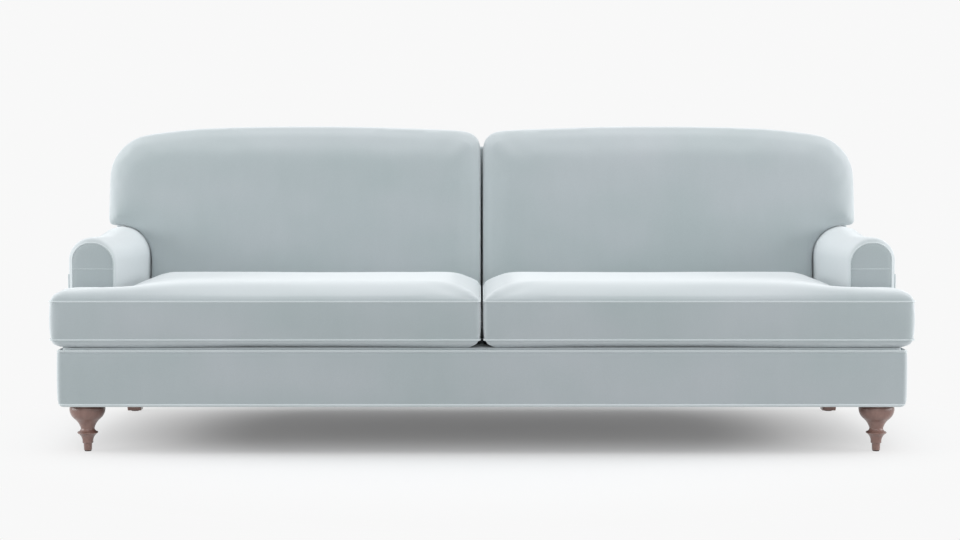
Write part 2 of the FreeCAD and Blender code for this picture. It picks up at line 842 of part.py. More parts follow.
paired_pieces = {
    "side_rail": side_rail,
    "arm_front_board": arm_front_board,
    "arm_top_board": arm_top_board,
    "arm_lower_rail": arm_lower_rail,
    "arm_lining": arm_lining,
    "back_post": lambda: back_post(frame_side - post_thickness, frame_side, back_frame_top),
    "arm_pad": arm_pad,
    "arm_facing": arm_facing,
    "outside_arm": outside_arm,
    "front_leg": front_leg,
    "rear_leg": rear_leg,
    "seat_cover": seat_cover,
    "seat_core": seat_core,
    "seat_zip": seat_zip,
    "seat_zip_slider": seat_zip_slider,
    "back_cover": back_cover,
    "back_core": back_core,
    "back_zip": back_zip,
    "back_zip_slider": back_zip_slider,
}

os.makedirs("parts", exist_ok=True)
for name, make in single_pieces.items():
    make().exportStep("parts/" + name + ".step")
for name, make in paired_pieces.items():
    piece = make()
    piece.exportStep("parts/" + name + "_right.step")
    mirrored(piece).exportStep("parts/" + name + "_left.step")
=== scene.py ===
# %% [markdown]
# # An English roll arm sofa in velvet
#
# The imported model of the sofa holds everything that carries load: rails, boards, legs, webbing, the
# bolts, and plain solids in the place of every soft piece. This lesson dresses it. Each padded piece
# is modelled with the tools that a hand would use in edit mode, the cushions are then filled with air by the
# cloth solver, and every surface gets a finish of its own that is made of nodes.

# %% Load the imported sofa
import json
from math import atan, degrees, radians

import bpy
import numpy as np
from mathutils import Matrix, Vector, kdtree


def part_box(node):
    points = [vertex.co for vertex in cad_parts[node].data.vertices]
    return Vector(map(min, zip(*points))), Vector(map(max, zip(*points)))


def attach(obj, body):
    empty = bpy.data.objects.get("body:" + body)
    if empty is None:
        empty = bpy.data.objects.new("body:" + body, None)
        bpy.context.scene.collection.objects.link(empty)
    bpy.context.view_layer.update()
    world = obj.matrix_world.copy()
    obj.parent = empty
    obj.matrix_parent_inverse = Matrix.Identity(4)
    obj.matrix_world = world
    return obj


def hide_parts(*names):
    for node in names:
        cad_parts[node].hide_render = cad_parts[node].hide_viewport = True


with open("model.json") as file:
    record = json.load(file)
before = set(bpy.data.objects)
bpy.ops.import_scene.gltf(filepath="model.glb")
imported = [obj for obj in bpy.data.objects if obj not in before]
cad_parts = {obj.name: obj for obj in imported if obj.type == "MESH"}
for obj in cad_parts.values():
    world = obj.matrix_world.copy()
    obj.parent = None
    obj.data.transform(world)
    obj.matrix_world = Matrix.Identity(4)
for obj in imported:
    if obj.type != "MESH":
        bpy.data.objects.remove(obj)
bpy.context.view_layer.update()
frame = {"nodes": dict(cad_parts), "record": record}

# %% [markdown]
# ## Sizes to work from
#
# The frame says where everything is, so sizes are read from its boxes instead of being typed again.
# The back leans, so its two faces are straight lines in height that pass through two box corners.

# %% Read sizes from the frame
SIDES = (("right", 1), ("left", -1))

border_low, border_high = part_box("front_border")
seat_low, seat_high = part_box("seat_cover_right")
cushion_low, cushion_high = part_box("back_cover_right")
arm_low, arm_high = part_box("arm_pad_right")
facing_low, facing_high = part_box("arm_facing_right")
panel_low, panel_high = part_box("outside_back")
back_low, back_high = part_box("inside_back")
deck_low, deck_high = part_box("deck_cover")

PANEL_THICKNESS = 0.008
BACK_DEPTH_LOW = 0.1322      # inside back to outside back at the border's top
BACK_DEPTH_TOP = 0.0786      # the same at the top
lean = (panel_high.y - PANEL_THICKNESS - panel_low.y) / (panel_high.z - panel_low.z)


def outside_back(z):
    """Y of the outside back's outer face at height z."""
    return panel_low.y + PANEL_THICKNESS + (z - panel_low.z) * lean


def inside_back(z):
    """Y of the inside back's face at height z."""
    share = (z - border_high.z) / (back_high.z - border_high.z)
    return outside_back(z) - BACK_DEPTH_LOW + share * (BACK_DEPTH_LOW - BACK_DEPTH_TOP)


print("inside back leans", round(degrees(atan((inside_back(0.8) - inside_back(0.3)) / 0.5)), 1), "degrees")

# %% [markdown]
# ## The camera
#
# The photograph looks at the sofa from straight in front, with the horizon a little under the top of
# the back. A long lens from about five metres gives the same small amount of perspective on the arms.

# %% Place the camera
CAMERA_DISTANCE = 4.95       # from the front of the seat cushions
CAMERA_HEIGHT = 0.824
PITCH_DOWN = 3.82

camera_data = bpy.data.cameras.new("Camera")
camera_data.lens = 70.5
camera_data.sensor_width = 36.0
camera = bpy.data.objects.new("Camera", camera_data)
camera.location = (-0.0053, seat_low.y - CAMERA_DISTANCE, CAMERA_HEIGHT)
camera.rotation_euler = (radians(90 - PITCH_DOWN), 0, 0)
bpy.context.scene.collection.objects.link(camera)
bpy.context.scene.camera = camera
bpy.context.scene.view_settings.view_transform = "Standard"
print("camera at", [round(value, 3) for value in camera.location])

# %% [markdown]
# ## Light and floor
#
# The sofa stands in an even white studio: one wide soft light overhead, one in front, a low one at each
# end that reaches under the sofa, and a pale sky all round. The floor is a true pale floor, so that it
# takes the soft shadow under the sofa, and away from the sofa it turns to plain white for the camera only.

# %% Sky and lamps
WHITE = (0.94, 0.94, 0.94, 1.0)

world = bpy.data.worlds.new("Studio")
bpy.context.scene.world = world
world.use_nodes = True
tree = world.node_tree
tree.nodes.clear()
sky = tree.nodes.new("ShaderNodeBackground")
sky.inputs["Color"].default_value = (0.97, 0.985, 1.0, 1.0)
sky.inputs["Strength"].default_value = 0.62
seen = tree.nodes.new("ShaderNodeBackground")
seen.inputs["Color"].default_value = WHITE
rays = tree.nodes.new("ShaderNodeLightPath")
either = tree.nodes.new("ShaderNodeMath")
either.operation = "MAXIMUM"
mix = tree.nodes.new("ShaderNodeMixShader")
out = tree.nodes.new("ShaderNodeOutputWorld")
tree.links.new(rays.outputs["Is Camera Ray"], either.inputs[0])
tree.links.new(rays.outputs["Is Transmission Ray"], either.inputs[1])
tree.links.new(either.outputs[0], mix.inputs[0])
tree.links.new(sky.outputs[0], mix.inputs[1])
tree.links.new(seen.outputs[0], mix.inputs[2])
tree.links.new(mix.outputs[0], out.inputs["Surface"])


def soft_light(name, place, aim, width, height, power):
    """A rectangular lamp at a place, turned towards a point."""
    data = bpy.data.lights.new(name, "AREA")
    data.shape = "RECTANGLE"
    data.size, data.size_y, data.energy = width, height, power
    lamp = bpy.data.objects.new(name, data)
    lamp.location = place
    lamp.rotation_euler = (Vector(aim) - Vector(place)).to_track_quat("-Z", "Y").to_euler()
    bpy.context.scene.collection.objects.link(lamp)
    return lamp


soft_light("overhead", (0, -0.3, 3.4), (0, 0, 0.4), 5.0, 3.0, 43)
soft_light("front", (0, -5.5, 2.6), (0, 0, 0.6), 4.0, 2.0, 50)
for side, sign in SIDES:
    soft_light("side_" + side, (sign * 4.2, -0.9, 0.9), (0, -0.1, 0.35), 3.0, 1.5, 60)

# %% Floor
FLOOR_REACH = 30.0
SHADOW_LIFT = 0.16           # how far the camera sees the shadow lifted towards white


def floor_finish():
    """Pale floor near the sofa, plain white to the camera further away."""
    material = bpy.data.materials.new("studio_floor")
    material.use_nodes = True
    tree = material.node_tree
    tree.nodes.clear()
    node = lambda kind: tree.nodes.new("ShaderNode" + kind)
    pale = node("BsdfDiffuse")
    tone = node("Mix")
    tone.data_type = "RGBA"
    tone.inputs[6].default_value = WHITE
    tone.inputs[7].default_value = (0.66, 0.66, 0.66, 1.0)
    white = node("Emission")
    white.inputs["Color"].default_value = WHITE
    place, stretch, far = node("TexCoord"), node("Mapping"), node("VectorMath")
    stretch.inputs["Scale"].default_value = (1 / 1.35, 1 / 1.25, 1.0)
    stretch.inputs["Location"].default_value = (0.0, 0.05, 0.0)
    far.operation = "LENGTH"
    fade = node("MapRange")
    fade.interpolation_type = "SMOOTHSTEP"
    fade.inputs["From Min"].default_value = 0.46
    fade.inputs["From Max"].default_value = 1.12
    fade.inputs["To Min"].default_value = SHADOW_LIFT
    rays, looking, share, mix, out = (node("LightPath"), node("Math"), node("Math"), node("MixShader"),
                                      node("OutputMaterial"))
    looking.operation, share.operation = "MAXIMUM", "MULTIPLY"
    link = tree.links.new
    link(rays.outputs["Is Diffuse Ray"], tone.inputs[0])
    link(tone.outputs[2], pale.inputs["Color"])
    link(place.outputs["Object"], stretch.inputs["Vector"])
    link(stretch.outputs[0], far.inputs[0])
    link(far.outputs["Value"], fade.inputs["Value"])
    link(rays.outputs["Is Camera Ray"], looking.inputs[0])
    link(rays.outputs["Is Glossy Ray"], looking.inputs[1])
    link(looking.outputs[0], share.inputs[0])
    link(fade.outputs["Result"], share.inputs[1])
    link(share.outputs[0], mix.inputs[0])
    link(pale.outputs[0], mix.inputs[1])
    link(white.outputs[0], mix.inputs[2])
    link(mix.outputs[0], out.inputs["Surface"])
    return material


bpy.ops.mesh.primitive_plane_add(size=2 * FLOOR_REACH, location=(0, 0, 0))
floor = bpy.context.object
floor.name = "studio_floor"
floor.data.materials.append(floor_finish())
print("floor laid")

# %% [markdown]
# ## Finishes
#
# Velvet is a short upright pile. Seen straight on it shows its own colour, and where the surface turns
# away it goes pale. The shader's sheen does some of that, and a Layer Weight node, which only knows how far
# the surface is turned away, blends a pale colour into the base colour there as a painted sheen. Soft clouds of
# lighter and darker colour stand for the brushed nap, and a very fine bump for the pile.

# %% A starting point for every finish
def new_finish(name, roughness, **constants):
    """A material with a shader, object coordinates, and helpers to add and link nodes."""
    material = bpy.data.materials.new(name)
    material.use_nodes = True
    tree = material.node_tree
    shader = tree.nodes["Principled BSDF"]
    shader.inputs["Roughness"].default_value = roughness
    for key, value in constants.items():
        shader.inputs[key.replace("_", " ")].default_value = value
    place = tree.nodes.new("ShaderNodeTexCoord")
    return material, tree, shader, place.outputs["Object"]


def clouds(tree, place, scale, detail=3.0, stretch=(1, 1, 1)):
    """Noise on a stretched copy of the coordinates; returns its 0 to 1 value."""
    mapping = tree.nodes.new("ShaderNodeMapping")
    mapping.inputs["Scale"].default_value = stretch
    noise = tree.nodes.new("ShaderNodeTexNoise")
    noise.inputs["Scale"].default_value = scale
    noise.inputs["Detail"].default_value = detail
    tree.links.new(place, mapping.inputs["Vector"])
    tree.links.new(mapping.outputs[0], noise.inputs["Vector"])
    return noise.outputs[0]


def blended(tree, value, low, high, start=0.3, end=0.7):
    """A colour that runs from low to high as the value goes from start to end."""
    ramp = tree.nodes.new("ShaderNodeValToRGB")
    ramp.color_ramp.elements[0].position, ramp.color_ramp.elements[1].position = start, end
    ramp.color_ramp.elements[0].color = (*low, 1.0)
    ramp.color_ramp.elements[1].color = (*high, 1.0)
    tree.links.new(value, ramp.inputs[0])
    return ramp.outputs[0]


def tinted(tree, colour, tint, how="MULTIPLY", amount=1.0):
    """Two colours put together."""
    mix = tree.nodes.new("ShaderNodeMix")
    mix.data_type, mix.blend_type = "RGBA", how
    mix.inputs[0].default_value = amount
    tree.links.new(colour, mix.inputs[6])
    tree.links.new(tint, mix.inputs[7])
    return mix.outputs[2]


def raised(tree, shader, height, distance, strength=1.0):
    """The height becomes a bump of that distance in metres."""
    bump = tree.nodes.new("ShaderNodeBump")
    bump.inputs["Distance"].default_value = distance
    bump.inputs["Strength"].default_value = strength
    tree.links.new(height, bump.inputs["Height"])
    tree.links.new(bump.outputs[0], shader.inputs["Normal"])


# %% Velvet and its piping
def velvet_finish(name, low, high, painted_sheen_colour, sheen=0.55):
    """Upright pile: its own colour seen straight on, and a painted sheen, a pale colour blended in where it turns
    away.
    """
    material, tree, shader, place = new_finish(name, 0.85, Sheen_Weight=sheen, Sheen_Roughness=0.35,
                                               Sheen_Tint=(0.96, 0.99, 1.0, 1.0), Specular_IOR_Level=0.10)
    nap = blended(tree, clouds(tree, place, 2.3, 2.0, (1.0, 1.0, 1.5)), low, high, 0.36, 0.66)
    pile = blended(tree, clouds(tree, place, 520.0, 2.0), (0.94, 0.94, 0.94), (1.0, 1.0, 1.0))
    brushed = blended(tree, clouds(tree, place, 26.0, 3.0, (1.0, 1.0, 0.25)), (0.98, 0.98, 0.98), (1.0, 1.0, 1.0))
    colour = tinted(tree, tinted(tree, nap, pile), brushed)
    # Painted sheen: the Layer Weight's facing blends the base colour towards the pale sheen colour.
    turned = tree.nodes.new("ShaderNodeLayerWeight")
    turned.inputs["Blend"].default_value = 0.5
    steep = tree.nodes.new("ShaderNodeMath")
    steep.operation = "POWER"
    steep.inputs[1].default_value = 1.0
    mix = tree.nodes.new("ShaderNodeMix")
    mix.data_type = "RGBA"
    mix.inputs[7].default_value = (*painted_sheen_colour, 1.0)
    tree.links.new(turned.outputs["Facing"], steep.inputs[0])
    tree.links.new(steep.outputs[0], mix.inputs[0])
    tree.links.new(colour, mix.inputs[6])
    tree.links.new(mix.outputs[2], shader.inputs["Base Color"])
    raised(tree, shader, clouds(tree, place, 900.0, 2.0), 0.0006, 0.3)
    return material


# The last colour of each finish is its painted sheen.
velvet = velvet_finish("velvet", (0.410, 0.468, 0.480), (0.458, 0.500, 0.522), (0.80, 0.845, 0.865))
# The piping's paler colours are a painted highlight along each welt.
piping_velvet_painted_highlight = velvet_finish("piping_velvet_painted_highlight", (0.540, 0.600, 0.612), (0.570, 0.622, 0.640), (0.90, 0.95, 0.96))
print("velvet ready")

# %% [markdown]
# The front legs are turned, red-brown and satin. Their grain runs up the leg: noise that is stretched
# along Z gives long fibres, and a thin clear coat gives the small bright spots on the bulb and collar.
# The frame inside is plain hardwood with the same grain, paler and without a coat.

# %% Woods
def wood_finish(name, low, high, roughness, stretch, coat=0.0):
    material, tree, shader, place = new_finish(name, roughness, Coat_Weight=coat, Coat_Roughness=0.22)
    fibres = blended(tree, clouds(tree, place, 46.0, 6.0, stretch), low, high, 0.32, 0.68)
    figure = blended(tree, clouds(tree, place, 9.0, 3.0, stretch), (0.82, 0.80, 0.79), (1.0, 1.0, 1.0))
    tree.links.new(tinted(tree, fibres, figure), shader.inputs["Base Color"])
    raised(tree, shader, clouds(tree, place, 160.0, 4.0, stretch), 0.0004, 0.3)
    return material


UP_THE_LEG = (1.0, 1.0, 0.12)
ALONG_X = (0.06, 1.0, 1.0)
ALONG_Y = (1.0, 0.06, 1.0)
stained = wood_finish("stained_wood", (0.205, 0.110, 0.090), (0.305, 0.180, 0.150), 0.38, UP_THE_LEG, 0.45)
beech_x = wood_finish("beech_along_x", (0.47, 0.31, 0.19), (0.62, 0.45, 0.30), 0.62, ALONG_X)
beech_y = wood_finish("beech_along_y", (0.47, 0.31, 0.19), (0.62, 0.45, 0.30), 0.62, ALONG_Y)
beech_z = wood_finish("beech_upright", (0.47, 0.31, 0.19), (0.62, 0.45, 0.30), 0.62, UP_THE_LEG)
print("woods ready")

# %% [markdown]
# Cloths that don't show much still have a weave. Two wave textures at right angles make the threads of
# the platform cloth, the webbing and the zip tape. Felt, foam and the dust cloth are only irregular.

# %% Woven and matted cloths
def woven_finish(name, low, high, threads, roughness=0.9):
    material, tree, shader, place = new_finish(name, roughness, Specular_IOR_Level=0.15)
    crossing = None
    for direction in ("X", "Y"):
        wave = tree.nodes.new("ShaderNodeTexWave")
        wave.bands_direction = direction
        wave.inputs["Scale"].default_value = threads
        wave.inputs["Distortion"].default_value = 0.6
        tree.links.new(place, wave.inputs["Vector"])
        colour = blended(tree, wave.outputs[1], low, high, 0.1, 0.9)
        crossing = colour if crossing is None else tinted(tree, crossing, colour, "LIGHTEN", 0.5)
    tree.links.new(crossing, shader.inputs["Base Color"])
    raised(tree, shader, crossing, 0.0003, 0.5)
    return material


def matted_finish(name, low, high, scale, roughness=0.95, depth=0.001):
    material, tree, shader, place = new_finish(name, roughness, Specular_IOR_Level=0.1)
    fibre = clouds(tree, place, scale, 6.0)
    tree.links.new(blended(tree, fibre, low, high), shader.inputs["Base Color"])
    raised(tree, shader, fibre, depth, 0.5)
    return material


platform = woven_finish("platform_cloth", (0.30, 0.33, 0.34), (0.40, 0.43, 0.44), 240.0)
webbing = woven_finish("webbing", (0.03, 0.03, 0.03), (0.35, 0.33, 0.28), 90.0)
zip_tape = woven_finish("zip_tape", (0.30, 0.34, 0.35), (0.42, 0.46, 0.47), 420.0)
dust_cloth = matted_finish("dust_cloth", (0.012, 0.012, 0.013), (0.045, 0.045, 0.048), 420.0, depth=0.0005)
felt = matted_finish("felt", (0.20, 0.20, 0.21), (0.42, 0.41, 0.40), 180.0)
foam = matted_finish("foam", (0.72, 0.66, 0.44), (0.80, 0.75, 0.55), 350.0)
card = matted_finish("card", (0.36, 0.26, 0.17), (0.44, 0.34, 0.23), 60.0, depth=0.0003)
print("cloths ready")


# %% Metals and nylon
def hard_finish(name, low, high, roughness, metallic, scale):
    material, tree, shader, place = new_finish(name, roughness, Metallic=metallic)
    wear = clouds(tree, place, scale, 4.0)
    tree.links.new(blended(tree, wear, low, high), shader.inputs["Base Color"])
    raised(tree, shader, wear, 0.0002, 0.2)
    return material


steel = hard_finish("steel", (0.45, 0.45, 0.46), (0.62, 0.62, 0.62), 0.35, 1.0, 90.0)
zip_metal = hard_finish("zip_metal", (0.48, 0.46, 0.42), (0.66, 0.64, 0.60), 0.30, 1.0, 300.0)
nylon = hard_finish("glide_plastic", (0.030, 0.026, 0.024), (0.060, 0.052, 0.048), 0.45, 0.0, 120.0)
print("metals ready")

# %% Dress the nodes that stay
NODE_FINISHES = {
    "hardwood": beech_y, "stained_wood": stained, "card": card, "webbing": webbing, "felt": felt,
    "foam": foam, "steel": steel, "glide_plastic": nylon, "zip_tape": zip_tape, "zip_metal": zip_metal,
    "velvet": velvet, "platform_cloth": platform, "dust_cloth": dust_cloth}
LENGTHWISE = ("front_rail", "back_rail", "back_top_rail", "back_lower_rails")
UPRIGHT = ("back_post", "arm_posts", "front_leg_blocks", "rear_leg_blocks", "arm_front_board")

slots = {row["node"]: row["material_slot"] for row in frame["record"]["subparts"]}
for name, node in frame["nodes"].items():
    finish = NODE_FINISHES[slots[name]]
    if name in LENGTHWISE:
        finish = beech_x
    elif name.startswith(UPRIGHT):
        finish = beech_z
    node.data.materials.clear()
    node.data.materials.append(finish)
print("finishes on", len(slots), "nodes")

# %% [markdown]
# ## Tools for modelling by hand
#
# In edit mode a hand picks faces, edges or corners and then pushes a tool. In a script the picking is
# a test on the place of each one. These helpers start a piece, pick on it, and apply a modifier.

# %% Start, pick, apply
def nothing_selected():
    """Object mode with nothing selected, ready for a new primitive."""
    if bpy.context.mode != "OBJECT":
        bpy.ops.object.mode_set(mode="OBJECT")
    bpy.ops.object.select_all(action="DESELECT")


def only(piece):
    """The piece alone is selected and active."""
    nothing_selected()
    piece.select_set(True)
    bpy.context.view_layer.objects.active = piece
    return piece


def named(piece, name):
    piece.name = piece.data.name = name
    bpy.ops.object.transform_apply(location=True, rotation=True, scale=True)
    return piece


def block(name, low, high):
    """A box between two corners."""
    nothing_selected()
    low, high = Vector(low), Vector(high)
    bpy.ops.mesh.primitive_cube_add(size=1, location=(low + high) / 2)
    bpy.context.object.scale = high - low
    return named(bpy.context.object, name)


def sheet_of(name, low, high, height):
    """A flat rectangle at a height, given its corners in plan."""
    nothing_selected()
    bpy.ops.mesh.primitive_plane_add(size=1, location=((low[0] + high[0]) / 2, (low[1] + high[1]) / 2, height))
    bpy.context.object.scale = (high[0] - low[0], high[1] - low[1], 1)
    return named(bpy.context.object, name)


def pick(piece, kind, test):
    """Edit mode, with the faces, edges or corners that pass the test selected."""
    only(piece)
    mesh = piece.data
    for group in (mesh.vertices, mesh.edges, mesh.polygons):
        group.foreach_set("select", [False] * len(group))
    bpy.context.tool_settings.mesh_select_mode = [kind == each for each in ("VERT", "EDGE", "FACE")]
    points = mesh.vertices
    if kind == "VERT":
        for point in points:
            point.select = bool(test(point.co))
    elif kind == "EDGE":
        for edge in mesh.edges:
            a, b = points[edge.vertices[0]].co, points[edge.vertices[1]].co
            edge.select = bool(test((a + b) / 2, (b - a).normalized()))
    else:
        for face in mesh.polygons:
            face.select = bool(test(face.center, face.normal))
    bpy.ops.object.mode_set(mode="EDIT")


def done(piece):
    bpy.ops.object.mode_set(mode="OBJECT")
    return piece


def everything(*_):
    return True


def softened(piece, test, offset, segments):
    """Bevels the edges that pass the test."""
    pick(piece, "EDGE", test)
    bpy.ops.mesh.bevel(offset=offset, segments=segments, affect="EDGES")
    return done(piece)


def one_face(piece):
    """Makes a flat piece a single face again."""
    pick(piece, "FACE", everything)
    bpy.ops.mesh.dissolve_faces()
    return done(piece)


def facing_out(piece):
    """Turns every face outwards."""
    pick(piece, "FACE", everything)
    bpy.ops.mesh.normals_make_consistent(inside=False)
    return done(piece)


def cut_across(piece, *planes):
    """Cuts new edges where planes of constant X, Y or Z cross the piece."""
    for axis, value in planes:
        pick(piece, "FACE", everything)
        place, normal = Vector((0, 0, 0)), Vector((0, 0, 0))
        place[axis], normal[axis] = value, 1.0
        bpy.ops.mesh.bisect(plane_co=place, plane_no=normal)
    return done(piece)


def applied(piece, kind, **settings):
    """Adds a modifier with these settings and applies it."""
    only(piece)
    modifier = piece.modifiers.new(kind, kind)
    for key, value in settings.items():
        setattr(modifier, key, value)
    bpy.ops.object.modifier_apply(modifier=modifier.name)
    return piece


def smooth(piece, angle=50.0):
    only(piece)
    bpy.ops.object.shade_smooth_by_angle(angle=radians(angle))
    return piece


def other_side(piece, name):
    """A mirrored copy with its own mesh, for the left end of the sofa."""
    copy = piece.copy()
    copy.data = piece.data.copy()
    copy.name = copy.data.name = name
    bpy.context.scene.collection.objects.link(copy)
    copy.data.transform(Matrix.Scale(-1, 4, (1, 0, 0)))
    copy.data.flip_normals()
    return copy


def dress(piece, finish, slot, body, *nodes):
    """Finish, material slot (not used), the body it rides on, and the nodes it stands for."""
    piece.data.materials.clear()
    piece.data.materials.append(finish)
    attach(piece, body)
    if nodes:
        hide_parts(*nodes)
    return piece


def both_sides(piece, name, finish, slot, body, *nodes):
    """Dresses a right-hand piece and its mirrored copy. Names end in the side."""
    pair = (piece, other_side(piece, name + "_left"))
    piece.name = piece.data.name = name + "_right"
    for one, (side, _) in zip(pair, SIDES):
        dress(one, finish, slot, body.format(side=side), *[node.format(side=side) for node in nodes])
    return pair


print("tools ready")

# %% [markdown]
# ## Piping
#
# A welt is a cord in a strip of the same velvet, sewn into a seam. The edges that run along the seam
# are copied off the piece, turned into a curve, and given a round section. The piping's finish is paler than the
# velvet as a painted highlight.

# %% Piping along a seam
def piping(source, name, test, radius):
    """A round cord along the edges of a piece that pass the test."""
    pick(source, "EDGE", test)
    bpy.ops.mesh.duplicate()
    bpy.ops.mesh.separate(type="SELECTED")
    bpy.ops.object.mode_set(mode="OBJECT")
    cord = [piece for piece in bpy.context.selected_objects if piece != source][0]
    only(cord)
    cord.name = cord.data.name = name
    bpy.ops.object.convert(target="CURVE")
    cord.data.bevel_depth = radius
    cord.data.bevel_resolution = 3
    cord.data.use_fill_caps = True
    bpy.ops.object.convert(target="MESH")
    return smooth(cord, 70)


# %% [markdown]
# ## Filling a cushion
#
# The cover starts a few millimetres too small and as even quads. The cloth solver pumps it up while the
# points on the seams are held, so the panels crown and the boxing swells between them, as on a cushion
# that is filled with foam in fibre. No point may move further than the cap. Where the cushion lies on
# something, or against its neighbour, it is pressed flat.

# %% Pump up a cover
FRAMES = 20


def coordinates(piece):
    values = np.empty(len(piece.data.vertices) * 3)
    piece.data.vertices.foreach_get("co", values)
    return values.reshape(-1, 3)


def set_coordinates(piece, values):
    piece.data.vertices.foreach_set("co", values.ravel())
    piece.data.update()


def near(piece, seams, distance):
    """Which points of a piece are near a seam line."""
    tree = kdtree.KDTree(len(seams))
    for index, point in enumerate(seams):
        tree.insert(point, index)
    tree.balance()
    return [index for index, point in enumerate(piece.data.vertices) if tree.find(point.co)[2] < distance]


def pumped(piece, seams, cap, stiffness=12.0):
    """Fills a cover with air. Seam points stay, and no point moves further than the cap along X, Y or Z."""
    start = coordinates(piece)
    group = piece.vertex_groups.new(name="seams")
    group.add(near(piece, seams, 0.006), 1.0, "REPLACE")
    only(piece)
    cloth = piece.modifiers.new("Cloth", "CLOTH")
    cloth.settings.quality = 4
    cloth.settings.mass = 0.3
    cloth.settings.tension_stiffness = cloth.settings.compression_stiffness = stiffness
    cloth.settings.bending_stiffness = 0.6
    cloth.settings.use_pressure = True
    cloth.settings.uniform_pressure_force = 4.0
    cloth.settings.effector_weights.gravity = 0.0
    cloth.settings.vertex_group_mass = "seams"
    cloth.point_cache.frame_start, cloth.point_cache.frame_end = 1, FRAMES
    for number in range(1, FRAMES + 1):
        bpy.context.scene.frame_set(number)
    bpy.ops.object.modifier_apply(modifier=cloth.name)
    bpy.context.scene.frame_set(1)
    piece.vertex_groups.clear()
    moved = coordinates(piece) - start
    set_coordinates(piece, start + np.array(cap) * np.tanh(moved / np.array(cap)))
    print(piece.name, "moved up to", [round(float(most) * 1000, 1) for most in np.abs(moved).max(axis=0)], "mm")
    return piece


def eased(piece, test, rounds):
    """Relaxes the creases among the points that pass the test."""
    group = piece.vertex_groups.new(name="eased")
    group.add([point.index for point in piece.data.vertices if test(point.co)], 1.0, "REPLACE")
    applied(piece, "SMOOTH", factor=0.5, iterations=rounds, vertex_group="eased")
    piece.vertex_groups.clear()
    return piece


# %% [markdown]
# ## Seat cushions
#
# Each seat cushion is a boxed cushion with an ear that comes out before its arm. Its outline is a
# rectangle with an arm pulled out of one side. From the middle of the boxing, the panel is inset and
# raised step by step, up to the crown and down to the foot, so each seam is a ring of edges.

# %% An outline with an arm
def outline(name, low, high, arm_low, arm_high):
    """A flat rectangle with a second one pulled out of its right side."""
    flat = sheet_of(name, low, high, 0.0)
    cut_across(flat, *[(1, value) for value in (arm_low[1], arm_high[1]) if low[1] < value < high[1]])
    pick(flat, "EDGE", lambda middle, along: abs(middle.x - high[0]) < 1e-5
         and arm_low[1] < middle.y < arm_high[1])
    bpy.ops.mesh.extrude_edges_move(TRANSFORM_OT_translate={"value": (arm_high[0] - high[0], 0, 0)})
    return one_face(flat)


def rounded(flat, x, y, radius, steps):
    """Rounds one corner of a flat outline."""
    pick(flat, "VERT", lambda point: (point.xy - Vector((x, y))).length < 1e-4)
    bpy.ops.mesh.bevel(offset=radius, offset_type="OFFSET", affect="VERTICES", segments=steps)
    return done(flat)


def boxed(flat, upper, lower):
    """Insets and raises the outline along two profiles, up and down from its own height."""
    pick(flat, "FACE", everything)
    bpy.ops.mesh.extrude_region_move(TRANSFORM_OT_translate={"value": (0, 0, 0.002)})
    for steps, direction in ((upper, 1), (lower, -1)):
        pick(flat, "FACE", lambda middle, normal: normal.z * direction > 0.9)
        for inward, along in steps:
            bpy.ops.mesh.inset(thickness=inward, depth=along, use_even_offset=True)
    return facing_out(flat)


print("outline tools ready")

# %% Seat cushion cover before filling
SLACK = 0.004                # how much smaller the cover starts
SEAT_SEAM_LOW, SEAT_SEAM_HIGH = seat_low.z + 0.0232, seat_low.z + 0.1252
SEAT_BODY_SIDE = 0.986
SEAT_SIDE = seat_high.x + 0.0110
EAR_REAR = arm_low.y - 0.003

seat_middle = (SEAT_SEAM_LOW + SEAT_SEAM_HIGH) / 2 - 0.001
x0, y0 = seat_low.x + SLACK / 4, seat_low.y + SLACK / 2
x1, y1 = SEAT_BODY_SIDE - SLACK, seat_high.y - SLACK
x2, y2 = SEAT_SIDE - SLACK / 2, EAR_REAR - SLACK / 2
seat = outline("seat_cushion", (x0, y0), (x1, y1), (SEAT_BODY_SIDE, y0 - 0.01), (x2, y2))
HALF_BOXING = (SEAT_SEAM_HIGH - SEAT_SEAM_LOW) / 2 - 0.001
seat_half = [(0.0003, HALF_BOXING * 0.5), (0.0006, HALF_BOXING * 0.3), (0.0009, HALF_BOXING * 0.2)]
boxed(seat,
      seat_half + [(0.0010, 0.0110), (0.0024, 0.0085), (0.0055, 0.0055), (0.0115, 0.0035), (0.0300, 0.0045)],
      seat_half + [(0.003, 0.0090), (0.006, 0.0070), (0.010, 0.0050), (0.016, 0.0020)])
EAR_CORNER, CORNER = 0.017, 0.010


def seat_corners(inset=0.0):
    """Place and radius of each corner of the seat's outline, drawn in by the inset."""
    return ((x2 - inset, y0 + inset, EAR_CORNER), (x0 + inset, y0 + inset, CORNER),
            (x0 + inset, y1 - inset, CORNER), (x1 - inset, y1 - inset, CORNER), (x2 - inset, y2 - inset, CORNER))


for x, y, radius in seat_corners():
    softened(seat, lambda middle, along: abs(along.z) > 0.5 and (middle.xy - Vector((x, y))).length < 0.02,
             radius, 4)
seat.data.transform(Matrix.Translation((0, 0, seat_middle)))
print("seat cover:", len(seat.data.polygons), "faces,", round(seat.dimensions.x, 3), "m wide")

# %% [markdown]
# The seams are rings of edges on the cover. Points along them are kept, because the filling has to
# leave the seams where they are. A slim piping follows each ring, with its corners eased, and shows as
# one pale line with a shadow under it; the pale line is a painted highlight in the piping's colour.

# %% Seat seams, filling and piping
PIPING_RADIUS = 0.0021
PIPING_INSET = 0.0022


def on_level(level, slack=0.0015):
    return lambda middle, along: abs(middle.z - level) < slack and abs(along.z) < 0.1


def seam_points(piece, test, spacing=0.004):
    """Points along the edges of a piece that pass the test."""
    points = []
    for edge in piece.data.edges:
        a, b = (piece.data.vertices[index].co for index in edge.vertices)
        if test((a + b) / 2, (b - a).normalized()):
            count = max(2, int((b - a).length / spacing))
            points += [a.lerp(b, step / count) for step in range(count + 1)]
    return points


